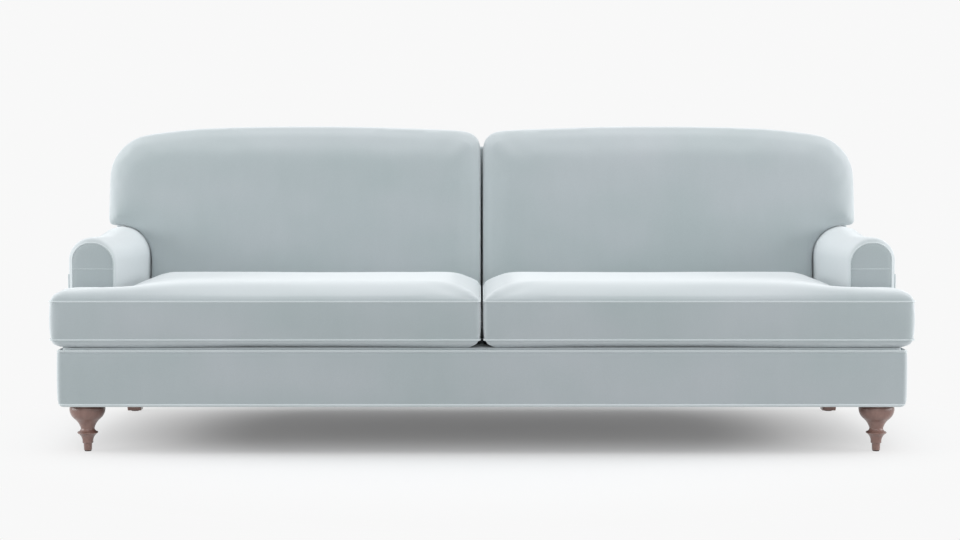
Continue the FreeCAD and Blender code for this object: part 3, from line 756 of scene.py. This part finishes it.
seat_seams = seam_points(seat, on_level(SEAT_SEAM_HIGH)) + seam_points(seat, on_level(SEAT_SEAM_LOW))
applied(seat, "REMESH", mode="VOXEL", voxel_size=0.0095)
applied(seat, "SMOOTH", factor=0.5, iterations=3)
pumped(seat, seat_seams, (0.004, 0.004, 0.016))
eased(seat, lambda point: point.z > SEAT_SEAM_HIGH + 0.014, 5)
eased(seat, lambda point: point.z > SEAT_SEAM_HIGH + 0.008
      and min((point.xy - Vector(corner)).length for corner in ((x0, y0), (x2, y0))) < 0.15, 14)
print("seat cushion filled:", len(seat.data.vertices), "points")

seat_welts = []
for name, level in (("seat_piping_high", SEAT_SEAM_HIGH), ("seat_piping_low", SEAT_SEAM_LOW)):
    ring = outline("seat_ring", (x0 + PIPING_INSET, y0 + PIPING_INSET), (x1 - PIPING_INSET, y1 - PIPING_INSET),
                   (x1, y0 - 0.01), (x2 - PIPING_INSET, y2 - PIPING_INSET))
    for x, y, radius in seat_corners(PIPING_INSET):
        rounded(ring, x, y, radius, 6)
    ring.data.transform(Matrix.Translation((0, 0, level)))
    seat_welts.append(piping(ring, name, everything, PIPING_RADIUS))
    bpy.data.objects.remove(ring)


# %% Press a cushion against what it lies on and stands beside
def pressed(piece, low, high):
    """Keeps every point between two corners."""
    values = coordinates(piece)
    set_coordinates(piece, np.clip(values, np.array(low), np.array(high)))
    return piece


pressed(seat, (seat_low.x - 0.0005, seat_low.y - 0.0015, seat_low.z), (SEAT_SIDE, seat_high.y, seat_high.z + 0.002))
values = coordinates(seat)
beside_arm = values[:, 1] > EAR_REAR + 0.012
values[beside_arm, 0] = np.minimum(values[beside_arm, 0], SEAT_BODY_SIDE + 0.001)
outside_body = values[:, 0] > SEAT_BODY_SIDE + 0.012
values[outside_body, 1] = np.minimum(values[outside_body, 1], EAR_REAR)
set_coordinates(seat, values)
applied(seat, "SUBSURF", levels=1, render_levels=1)
zip_low, zip_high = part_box("seat_zip_right")
values = coordinates(seat)
at_zip = ((values[:, 1] > 0.09) & (values[:, 0] > zip_low.x - 0.002) & (values[:, 0] < zip_high.x + 0.002)
          & (values[:, 2] > zip_low.z - 0.002) & (values[:, 2] < zip_high.z + 0.002))
values[at_zip, 1] = np.minimum(values[at_zip, 1], zip_low.y - 0.0004)
set_coordinates(seat, values)
smooth(seat, 80)
seat_pair = both_sides(seat, "seat_cushion", velvet, "velvet", "seat_cushion_{side}",
                       "seat_cover_{side}", "seat_core_{side}")
for cord in seat_welts:
    both_sides(cord, cord.name, piping_velvet_painted_highlight, "velvet", "seat_cushion_{side}")
print("seat cushions dressed")

# %% [markdown]
# ## Back cushions
#
# A back cushion is boxed as well. Its outline has a wing at the top that reaches over the arm, with a
# hollow that follows the arm's roll. It is modelled lying flat and then stood up against the back,
# leaning as the inside back leans.

# %% Back cushion cover before filling
BODY_SIDE = 0.9885
WING_FOOT = cushion_low.z + 0.2975
CUSHION_DEPTH = 0.196
CROWN_TOP = cushion_high.z - 0.001
CUSHION_INNER = cushion_low.x - 0.001
CUSHION_OUTER = cushion_high.x - 0.002
EDGE_ROLL = 0.034            # width of the sloping edge round the front and rear panels
TOP_EDGE = ((0.128, 0.0090), (0.31, 0.0028), (0.45, 0.0), (0.60, 0.0003), (0.76, 0.0030), (0.86, 0.0068),
            (0.945, 0.0155), (BODY_SIDE, 0.0215))  # place along the top edge, and how far it drops there

back = outline("back_cushion", (CUSHION_INNER, cushion_low.z + SLACK), (BODY_SIDE, CROWN_TOP),
               (BODY_SIDE + 0.001, WING_FOOT), (CUSHION_OUTER, CROWN_TOP + 0.01))
cut_across(back, *[(0, place) for place, _ in TOP_EDGE if place < BODY_SIDE])
OUTER_DROP, CENTRE_DROP = 0.040, 0.0170
for place, drop in TOP_EDGE + ((CUSHION_INNER, CENTRE_DROP), (CUSHION_OUTER, OUTER_DROP)):
    pick(back, "VERT", lambda point: abs(point.x - place) < 1e-4 and point.y > CROWN_TOP - 1e-4)
    bpy.ops.transform.translate(value=(0, -drop, 0))
one_face(back)
for x, y, radius, steps in ((BODY_SIDE, WING_FOOT, 0.0985, 7), (CUSHION_OUTER, CROWN_TOP - OUTER_DROP, 0.110, 9),
                            (CUSHION_INNER, CROWN_TOP - CENTRE_DROP, 0.048, 7)):
    rounded(back, x, y, radius, steps)
half = CUSHION_DEPTH / 2 - EDGE_ROLL - 0.010
back_half = [(0.0002, half * 0.5), (0.0003, half * 0.3), (0.0003, half * 0.2)]
roll = [(EDGE_ROLL * inward, EDGE_ROLL * along) for inward, along in (
    (0.03, 0.15), (0.15, 0.24), (0.26, 0.29), (0.24, 0.22), (0.17, 0.08), (0.15, 0.02))]
boxed(back, back_half + roll, back_half + roll)
print("back cover:", len(back.data.polygons), "faces,", round(back.dimensions.x, 3), "m wide")

# %% Stand it up, fill it and lean it
back_seams = seam_points(back, on_level(half + 0.002)) + seam_points(back, on_level(-half))
applied(back, "REMESH", mode="VOXEL", voxel_size=0.0095)
applied(back, "SMOOTH", factor=0.5, iterations=4)
pumped(back, back_seams, (0.003, 0.003, 0.010))
eased(back, lambda point: point.z > half + 0.012, 8)
eased(back, lambda point: point.z > half + 0.006
      and (point.xy - Vector((CUSHION_INNER, CROWN_TOP))).length < 0.17, 12)
values = coordinates(back)
front_most = values[:, 2].max()
rear_most = values[:, 2].min()
print("back cushion depth before pressing", round((front_most - rear_most) * 1000), "mm")
values[:, 0] = np.clip(values[:, 0], CUSHION_INNER - 0.0005, cushion_high.x)
values[:, 1] = np.clip(values[:, 1], cushion_low.z, cushion_high.z)
scale = CUSHION_DEPTH / (front_most - rear_most)
depth = (values[:, 2] - rear_most) * scale
stood = np.empty_like(values)
stood[:, 0] = values[:, 0]
stood[:, 2] = values[:, 1]
stood[:, 1] = [inside_back(z) - 0.002 for z in values[:, 1]] - depth
set_coordinates(back, stood)
applied(back, "SUBSURF", levels=1, render_levels=1)
foot_zip_low, foot_zip_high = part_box("back_zip_right")
values = coordinates(back)
at_zip = ((values[:, 2] < cushion_low.z + 0.02) & (values[:, 0] > foot_zip_low.x - 0.002)
          & (values[:, 0] < foot_zip_high.x + 0.002) & (values[:, 1] > foot_zip_low.y - 0.002)
          & (values[:, 1] < foot_zip_high.y + 0.002))
values[at_zip, 2] = np.maximum(values[at_zip, 2], foot_zip_high.z + 0.0004)
set_coordinates(back, values)
facing_out(back)
smooth(back, 80)
back_pair = both_sides(back, "back_cushion", velvet, "velvet", "back_cushion_{side}",
                       "back_cover_{side}", "back_core_{side}")
print("back cushions dressed:", len(back.data.vertices), "points each")

# %% [markdown]
# ## Zips
#
# Every cushion closes with a zip at the back or underneath. The tape and the slider's body come from the
# frame. The teeth are one small block that is repeated along the tape, and the pull is a flat tab with a
# hole, which lies along the tape.

# %% Teeth and pulls
TOOTH_PITCH = 0.0025


def zip_teeth(name, low, high, out):
    """A row of teeth along X down the middle of a tape; out is the direction the tape faces."""
    middle = (low + high) / 2
    face = Vector([low[axis] if out[axis] < 0 else high[axis] if out[axis] > 0 else middle[axis]
                   for axis in range(3)])
    half_size = Vector([0.0024, 0.0024, 0.0024])
    half_size.x = 0.0007
    for axis in (1, 2):
        if out[axis]:
            half_size[axis] = 0.0004
    start = Vector((low.x + 0.004, face.y, face.z)) + 0.0003 * Vector(out)
    tooth = block(name, start - half_size, start + half_size)
    applied(tooth, "BEVEL", width=0.0002, segments=1)
    count = int((high.x - low.x - 0.008) / TOOTH_PITCH)
    return applied(tooth, "ARRAY", count=count, use_relative_offset=False, use_constant_offset=True,
                   constant_offset_displace=(TOOTH_PITCH, 0, 0))


def zip_pull(name, low, high, out):
    """A flat tab beside the slider, on the slider's outer face."""
    flat = sheet_of(name, (high.x - 0.002, -0.0024), (high.x + 0.016, 0.0024), 0.0)
    pick(flat, "FACE", everything)
    bpy.ops.mesh.inset(thickness=0.0014)
    bpy.ops.mesh.delete(type="FACE")
    done(flat)
    applied(flat, "SOLIDIFY", thickness=0.0006, offset=0)
    applied(flat, "BEVEL", width=0.0002, segments=2)
    middle = (low + high) / 2
    if out[1]:
        flat.data.transform(Matrix.Rotation(radians(90), 4, "X"))
        flat.data.transform(Matrix.Translation((0, high.y - 0.0001, middle.z)))
    else:
        flat.data.transform(Matrix.Translation((0, middle.y, low.z + 0.0001)))
    return smooth(flat, 40)


for kind, out in (("seat", (0, 1, 0)), ("back", (0, 0, -1))):
    teeth = zip_teeth(kind + "_zip_teeth", *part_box(kind + "_zip_right"), out)
    both_sides(teeth, teeth.name, zip_metal, "zip_metal", kind + "_cushion_{side}")
    pull = zip_pull(kind + "_zip_pull", *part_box(kind + "_zip_slider_right"), out)
    both_sides(pull, pull.name, zip_metal, "zip_metal", kind + "_zip_slider_{side}")
print("zips closed")

# %% [markdown]
# ## Roll arms
#
# Each arm is a low roll that grows from front to back. Its sections, each a rectangle with its two top
# corners rounded to its own radii, are bridged into one form. At the front the sections draw in step by
# step to a soft rim, and the facing is let into it.

# %% Sections of the arm
ARM_STEPS = 12


def arm_section(y, inner, outer, crest, inner_radius, outer_radius, foot, lip=None, under=0.0):
    """One upright section of the right arm. Under the roll's lip its outer side may step in to under."""
    nothing_selected()
    bpy.ops.mesh.primitive_plane_add(size=1, location=((inner + outer) / 2, y, (foot + crest) / 2),
                                     rotation=(radians(90), 0, 0))
    bpy.context.object.scale = (outer - inner, crest - foot, 1)
    section = named(bpy.context.object, "arm_section")
    if lip:
        cut_across(section, (2, lip), (2, lip - 0.001))
        one_face(section)
        if under:
            pick(section, "VERT", lambda point: abs(point.x - outer) < 1e-5 and point.z < lip - 0.0005)
            bpy.ops.transform.translate(value=(under - outer, 0, 0))
            done(section)
    for x, radius in ((inner, inner_radius), (outer, outer_radius)):
        pick(section, "VERT", lambda point: abs(point.x - x) < 1e-5 and abs(point.z - crest) < 1e-5)
        bpy.ops.mesh.bevel(offset=radius, offset_type="OFFSET", affect="VERTICES", segments=ARM_STEPS)
        done(section)
    return section


def bridged(name, sections):
    """Joins sections and skins them in order, with both ends closed."""
    nothing_selected()
    for section in sections:
        section.select_set(True)
    bpy.context.view_layer.objects.active = sections[0]
    bpy.ops.object.join()
    form = bpy.context.object
    form.name = form.data.name = name
    pick(form, "FACE", everything)
    bpy.ops.mesh.delete(type="ONLY_FACE")
    pick(form, "EDGE", everything)
    bpy.ops.mesh.bridge_edge_loops()
    ends = [min(v.co.y for v in form.data.vertices), max(v.co.y for v in form.data.vertices)]
    for end in ends:
        pick(form, "EDGE", lambda middle, along: abs(middle.y - end) < 1e-5 and abs(along.y) < 1e-3)
        bpy.ops.mesh.edge_face_add()
    return facing_out(form)


RIM_FRONT = arm_low.y
ARM_FULL = facing_low.y + 0.449
ARM_END = inside_back(0.5) + 0.045
RIM_ROUND = 0.013
ROLL_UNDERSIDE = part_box("outside_arm_right")[1].z
UNDER_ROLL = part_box("outside_arm_right")[0].x
FRONT_SECTION = dict(inner=0.997, outer=1.127, crest=0.571, inner_radius=0.066, outer_radius=0.062)
MIDDLE_SECTION = dict(inner=0.994, outer=1.124, crest=0.5655, inner_radius=0.067, outer_radius=0.061)
REAR_SECTION = dict(inner=0.991, outer=1.1235, crest=0.579, inner_radius=0.086, outer_radius=0.047)
ARM_FOOT = arm_low.z

# how far behind the front each section of the rim stands, and its share of the whole inset
RIM = ((0.0, 1.0), (0.0035, 0.80), (0.0090, 0.43), (0.0145, 0.20), (0.0240, 0.06), (0.0250, 0.05), (0.0340, 0.0))


def rim_section(share, extra=0.0):
    """The arm's front section, drawn in a little on the inner side and more over the top and outside."""
    inset, inner_inset = RIM_ROUND * share + extra, 0.0036 * share + extra
    front = FRONT_SECTION
    return dict(inner=front["inner"] + inner_inset, outer=front["outer"] - inset, crest=front["crest"] - inset,
                inner_radius=front["inner_radius"] - 0.65 * inset, outer_radius=front["outer_radius"] - inset)


arm = bridged("arm_pad", [
    arm_section(RIM_FRONT + behind, foot=ARM_FOOT, lip=ROLL_UNDERSIDE, under=UNDER_ROLL if behind > 0.0245 else 0.0,
                **rim_section(share)) for behind, share in RIM] + [
    arm_section(RIM_FRONT + 0.235, foot=ARM_FOOT, lip=ROLL_UNDERSIDE, under=UNDER_ROLL, **MIDDLE_SECTION),
    arm_section(ARM_FULL, foot=ARM_FOOT, lip=ROLL_UNDERSIDE, under=UNDER_ROLL, **REAR_SECTION)])
pick(arm, "FACE", lambda middle, normal: normal.y > 0.9 and middle.y > ARM_FULL - 1e-4)
bpy.ops.mesh.extrude_region_move(TRANSFORM_OT_translate={"value": (0, ARM_END - ARM_FULL, 0)})
done(arm)
print("arm form:", len(arm.data.polygons), "faces")

# %% Rim and facing
front_face = lambda middle, normal: normal.y < -0.99 and abs(middle.y - RIM_FRONT) < 1e-4
pick(arm, "FACE", front_face)
bpy.ops.mesh.inset(thickness=0.0006, depth=-0.0012)
bpy.ops.mesh.inset(thickness=0.0004, depth=-0.0080)
done(arm)
applied(arm, "SUBSURF", levels=1, render_levels=1, subdivision_type="SIMPLE")
smooth(arm, 40)

FACING_SEAM = 0.4865
facing_edge = rim_section(1.0, 0.0006)
facing = arm_section(facing_low.y, foot=ARM_FOOT, **facing_edge)
facing.name = facing.data.name = "arm_facing"
pick(facing, "FACE", everything)
bpy.ops.mesh.extrude_region_move(TRANSFORM_OT_translate={"value": (0, -0.0020, 0)})
for inward, along in ((0.0015, 0.0020), (0.004, 0.0012), (0.010, 0.0008)):
    bpy.ops.mesh.inset(thickness=inward, depth=along)
facing_out(facing)
front_of_facing = min(point.co.y for point in facing.data.vertices)
smooth(facing, 60)
facing_ring = arm_section(RIM_FRONT + 0.0012, foot=ARM_FOOT, **facing_edge)
facing_welt = piping(facing_ring, "facing_welt", lambda middle, along: middle.z > ARM_FOOT + 1e-4, 0.0016)
bpy.data.objects.remove(facing_ring)
seam_path = sheet_of("seam_path", (facing_edge["inner"] + 0.002, front_of_facing - 0.0001),
                     (facing_edge["outer"] - 0.002, front_of_facing + 0.0200), FACING_SEAM)
facing_seam = piping(seam_path, "facing_seam", lambda middle, along: middle.y < front_of_facing + 0.001, 0.0008)
bpy.data.objects.remove(seam_path)
print("facing:", len(facing.data.polygons), "faces")

# %% Dress the arms
for one in both_sides(arm, "arm_pad", velvet, "velvet", "frame", "arm_pad_{side}"):
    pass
for one in both_sides(facing, "arm_facing", velvet, "velvet", "frame", "arm_facing_{side}"):
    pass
for cord in (facing_welt, facing_seam):
    both_sides(cord, cord.name, piping_velvet_painted_highlight, "velvet", "frame")

# %% [markdown]
# ## The border
#
# The padded border runs across the front and round both ends as far as the arms. Its plan is a
# rectangle with two rounded corners. It is raised and inset from its middle as the cushions are, then
# opened at the back and given a thickness.

# %% Front border
BORDER_SIDE = border_high.x + 0.007
END_FOOT, END_TOP = 0.024, 0.008      # how round the border's ends are, seen from in front


def ease_ends(piece, side, low, high):
    """Rounds the corners of both ends, as seen from in front."""
    for point in piece.data.vertices:
        sign = 1 if point.co.x > 0 else -1
        for radius, reach in ((END_FOOT, low + END_FOOT - point.co.z), (END_TOP, point.co.z - high + END_TOP)):
            across = abs(point.co.x) - (side - radius)
            length = (across ** 2 + reach ** 2) ** 0.5
            if across > 0 and reach > 0 and length > radius:
                point.co.x = sign * (side - radius + across * radius / length)
                point.co.z += (reach - reach * radius / length) * (1 if radius == END_FOOT else -1)
    piece.data.update()
    return piece


border = sheet_of("front_border", (-BORDER_SIDE, border_low.y), (BORDER_SIDE, border_high.y), 0.0)
for side in (-BORDER_SIDE, BORDER_SIDE):
    rounded(border, side, border_low.y, 0.014, 6)
cut_across(border, *[(0, sign * (BORDER_SIDE - inward)) for sign in (-1, 1) for inward in (0.016, 0.020, 0.026)])
one_face(border)
HALF_BORDER = (border_high.z - border_low.z) / 2 - 0.001
border_half = [(0.0003, HALF_BORDER * 0.45), (0.0007, HALF_BORDER * 0.30), (0.0006, HALF_BORDER * 0.135),
               (0.0016, 0.0045), (0.0030, 0.0030), (0.0035, HALF_BORDER * 0.115 - 0.0075)]
boxed(border, border_half, border_half)
border.data.transform(Matrix.Translation((0, 0, (border_low.z + border_high.z) / 2 - 0.001)))
inner_faces = lambda middle, normal: normal.y > 0.7 or abs(normal.z) > 0.99
pick(border, "FACE", inner_faces)
bpy.ops.mesh.delete(type="FACE")
done(border)
ease_ends(border, BORDER_SIDE, border_low.z, border_high.z)
applied(border, "SOLIDIFY", thickness=0.006, offset=-1)
smooth(border, 50)
dress(border, velvet, "velvet", "frame", "front_border")
print("border:", len(border.data.polygons), "faces")

# %% Border welts
WELT = 0.0034
path = sheet_of("welt_path", (WELT - BORDER_SIDE, border_low.y + WELT - 0.001), (BORDER_SIDE - WELT, border_high.y),
                border_high.z - WELT + 0.001)
for side in (WELT - BORDER_SIDE, BORDER_SIDE - WELT):
    rounded(path, side, border_low.y + WELT - 0.001, 0.012, 6)
cut_across(path, *[(0, sign * (BORDER_SIDE - inward)) for sign in (-1, 1) for inward in (0.016, 0.020, 0.026)])
around_front = lambda middle, along: middle.y < border_high.y - 1e-4 and not (
    abs(along.y) > 0.99 and abs(middle.x) < BORDER_SIDE - 0.01)
welts = [piping(path, "border_welt_top", around_front, WELT)]
path.data.transform(Matrix.Translation((0, 0, border_low.z - border_high.z + 2 * WELT)))
welts.append(piping(path, "border_welt_foot", around_front, WELT + 0.0006))
bpy.data.objects.remove(path)
for cord in welts:
    ease_ends(cord, BORDER_SIDE, border_low.z, border_high.z + 0.001)
    dress(cord, piping_velvet_painted_highlight, "velvet", "frame")
print("border welts sewn")

# %% [markdown]
# ## Back and outside panels
#
# The inside back is padded over the top rail and down both ends. It is a block that is pulled down
# between the arms, with every point then moved onto the two leaning faces. The outside panels are
# stretched flat over card and wadding, with softly rounded edges.

# %% Inside back
BETWEEN_ARMS = 0.992
TOP_CORNER = 0.034           # how round the back's two top corners are
inside = block("inside_back", (-back_high.x, 0, ROLL_UNDERSIDE), (back_high.x, 1, back_high.z))
cut_across(inside, (0, -BETWEEN_ARMS), (0, BETWEEN_ARMS))
pick(inside, "FACE", lambda middle, normal: normal.z < -0.9 and abs(middle.x) < BETWEEN_ARMS)
bpy.ops.mesh.extrude_region_move(TRANSFORM_OT_translate={"value": (0, 0, deck_high.z - ROLL_UNDERSIDE)})
softened(inside, lambda middle, along: abs(along.y) > 0.9 and middle.z > back_high.z - 1e-4
         and abs(middle.x) > back_high.x - 1e-4, TOP_CORNER, 5)


def leaned(piece, front_inset=0.0, rear=PANEL_THICKNESS):
    """Moves the points at y = 0 onto the inside back, and those at y = 1 before the outside back."""
    for point in piece.data.vertices:
        z = point.co.z
        front, back = inside_back(z) + front_inset, outside_back(z) - rear
        point.co.y = front + (back - front) * point.co.y
    piece.data.update()
    return piece


leaned(inside)
softened(inside, lambda middle, along: middle.y < inside_back(middle.z) + 0.001
         and (middle.z > back_high.z - TOP_CORNER or abs(middle.x) > back_high.x - 1e-4), 0.010, 5)
smooth(inside, 40)
dress(inside, velvet, "velvet", "frame", "inside_back")
print("inside back:", len(inside.data.polygons), "faces")

# %% Outside back and outside arms
outside = block("outside_back", (panel_low.x, 0, panel_low.z), (panel_high.x, 1, panel_high.z))
softened(outside, lambda middle, along: abs(along.y) > 0.9 and middle.z > panel_high.z - 1e-4, TOP_CORNER, 8)
for point in outside.data.vertices:
    point.co.y = outside_back(point.co.z) - PANEL_THICKNESS * (1 - point.co.y)
back_welt = piping(outside, "outside_back_welt",
                   lambda middle, along: middle.y > outside_back(middle.z) - 0.001 and middle.z > panel_low.z + 0.01,
                   0.0028)
dress(back_welt, piping_velvet_painted_highlight, "velvet", "frame")
softened(outside, lambda middle, along: middle.y > outside_back(middle.z) - 0.001, 0.004, 4)
smooth(outside, 40)
dress(outside, velvet, "velvet", "frame", "outside_back")

side_low, side_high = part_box("outside_arm_right")
side_panel = block("outside_arm", (side_low.x, 0, side_low.z), (side_high.x, 1, side_high.z))
for point in side_panel.data.vertices:
    rear = outside_back(point.co.z) - PANEL_THICKNESS
    point.co.y = side_low.y + (rear - side_low.y) * point.co.y
softened(side_panel, lambda middle, along: abs(along.z) > 0.9 and middle.x > side_high.x - 1e-4
         and middle.y < side_low.y + 0.001, 0.0078, 1)
side_welt = piping(side_panel, "outside_arm_welt", lambda middle, along: middle.x > side_high.x - 1e-4
                   and (middle.z > side_high.z - 0.01 or middle.y < side_low.y + 0.01), 0.0026)
both_sides(side_welt, "outside_arm_welt", piping_velvet_painted_highlight, "velvet", "frame")
softened(side_panel, lambda middle, along: middle.x > side_high.x - 1e-4, 0.0035, 4)
smooth(side_panel, 40)
for one in both_sides(side_panel, "outside_arm", velvet, "velvet", "frame", "outside_arm_{side}"):
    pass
print("outside panels stretched")

# %% [markdown]
# ## The deck
#
# Under the seat cushions lies the deck. Its front lip, which can show at the edge, is velvet. The rest
# is plain platform cloth over a thin pad.

# %% Deck lip and platform
LIP_REAR = RIM_FRONT
pad_low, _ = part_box("deck_pad")
lip = block("deck_lip", (deck_low.x, deck_low.y, pad_low.z), (deck_high.x, LIP_REAR, deck_high.z))
softened(lip, lambda middle, along: abs(along.z) > 0.9 and middle.y < deck_low.y + 1e-4, 0.015, 5)
softened(lip, lambda middle, along: abs(middle.z - deck_high.z) < 1e-4, 0.004, 3)
smooth(lip, 50)
dress(lip, velvet, "velvet", "frame", "deck_cover")

deck = block("deck_platform", (-BETWEEN_ARMS + 0.001, LIP_REAR, pad_low.z),
             (BETWEEN_ARMS - 0.001, inside_back(deck_high.z) - 0.001, deck_high.z))
softened(deck, lambda middle, along: abs(middle.z - deck_high.z) < 1e-4, 0.003, 3)
smooth(deck, 50)
dress(deck, platform, "platform_cloth", "frame", "deck_pad")
print("deck covered")

# %% Dust cloth
dust_low, dust_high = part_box("dust_cover")
dust = sheet_of("dust_cloth", (dust_low.x, dust_low.y), (dust_high.x, dust_high.y), (dust_low.z + dust_high.z) / 2)
applied(dust, "SOLIDIFY", thickness=0.0008, offset=0)
dress(dust, dust_cloth, "dust_cloth", "frame", "dust_cover")
print("dust cloth stapled")

# %% [markdown]
# Staples hold the dust cloth along all four rails. One staple is modelled and repeated down each row.

# %% Staples
STAPLE_PITCH = 0.050


def staple_row(name, start, step, count, along_x):
    """A row of staples from start, one every step."""
    reach = Vector((0.005, 0.0006, 0.0004)) if along_x else Vector((0.0006, 0.005, 0.0004))
    staple = block(name, Vector(start) - reach, Vector(start) + reach)
    applied(staple, "BEVEL", width=0.0003, segments=1)
    applied(staple, "ARRAY", count=count, use_relative_offset=False, use_constant_offset=True,
            constant_offset_displace=step)
    return dress(staple, steel, "steel", "frame")


STAPLE_HEIGHT = (dust_low.z + dust_high.z) / 2 - 0.0006
for name, y in (("front", dust_low.y + 0.012), ("rear", dust_high.y - 0.012)):
    staple_row("staples_" + name, (-1.05, y, STAPLE_HEIGHT), (STAPLE_PITCH, 0, 0), 43, True)
for name, x in (("left", dust_low.x + 0.010), ("right", dust_high.x - 0.010)):
    staple_row("staples_" + name, (x, -0.36, STAPLE_HEIGHT), (0, STAPLE_PITCH, 0), 14, False)
print("staples in")
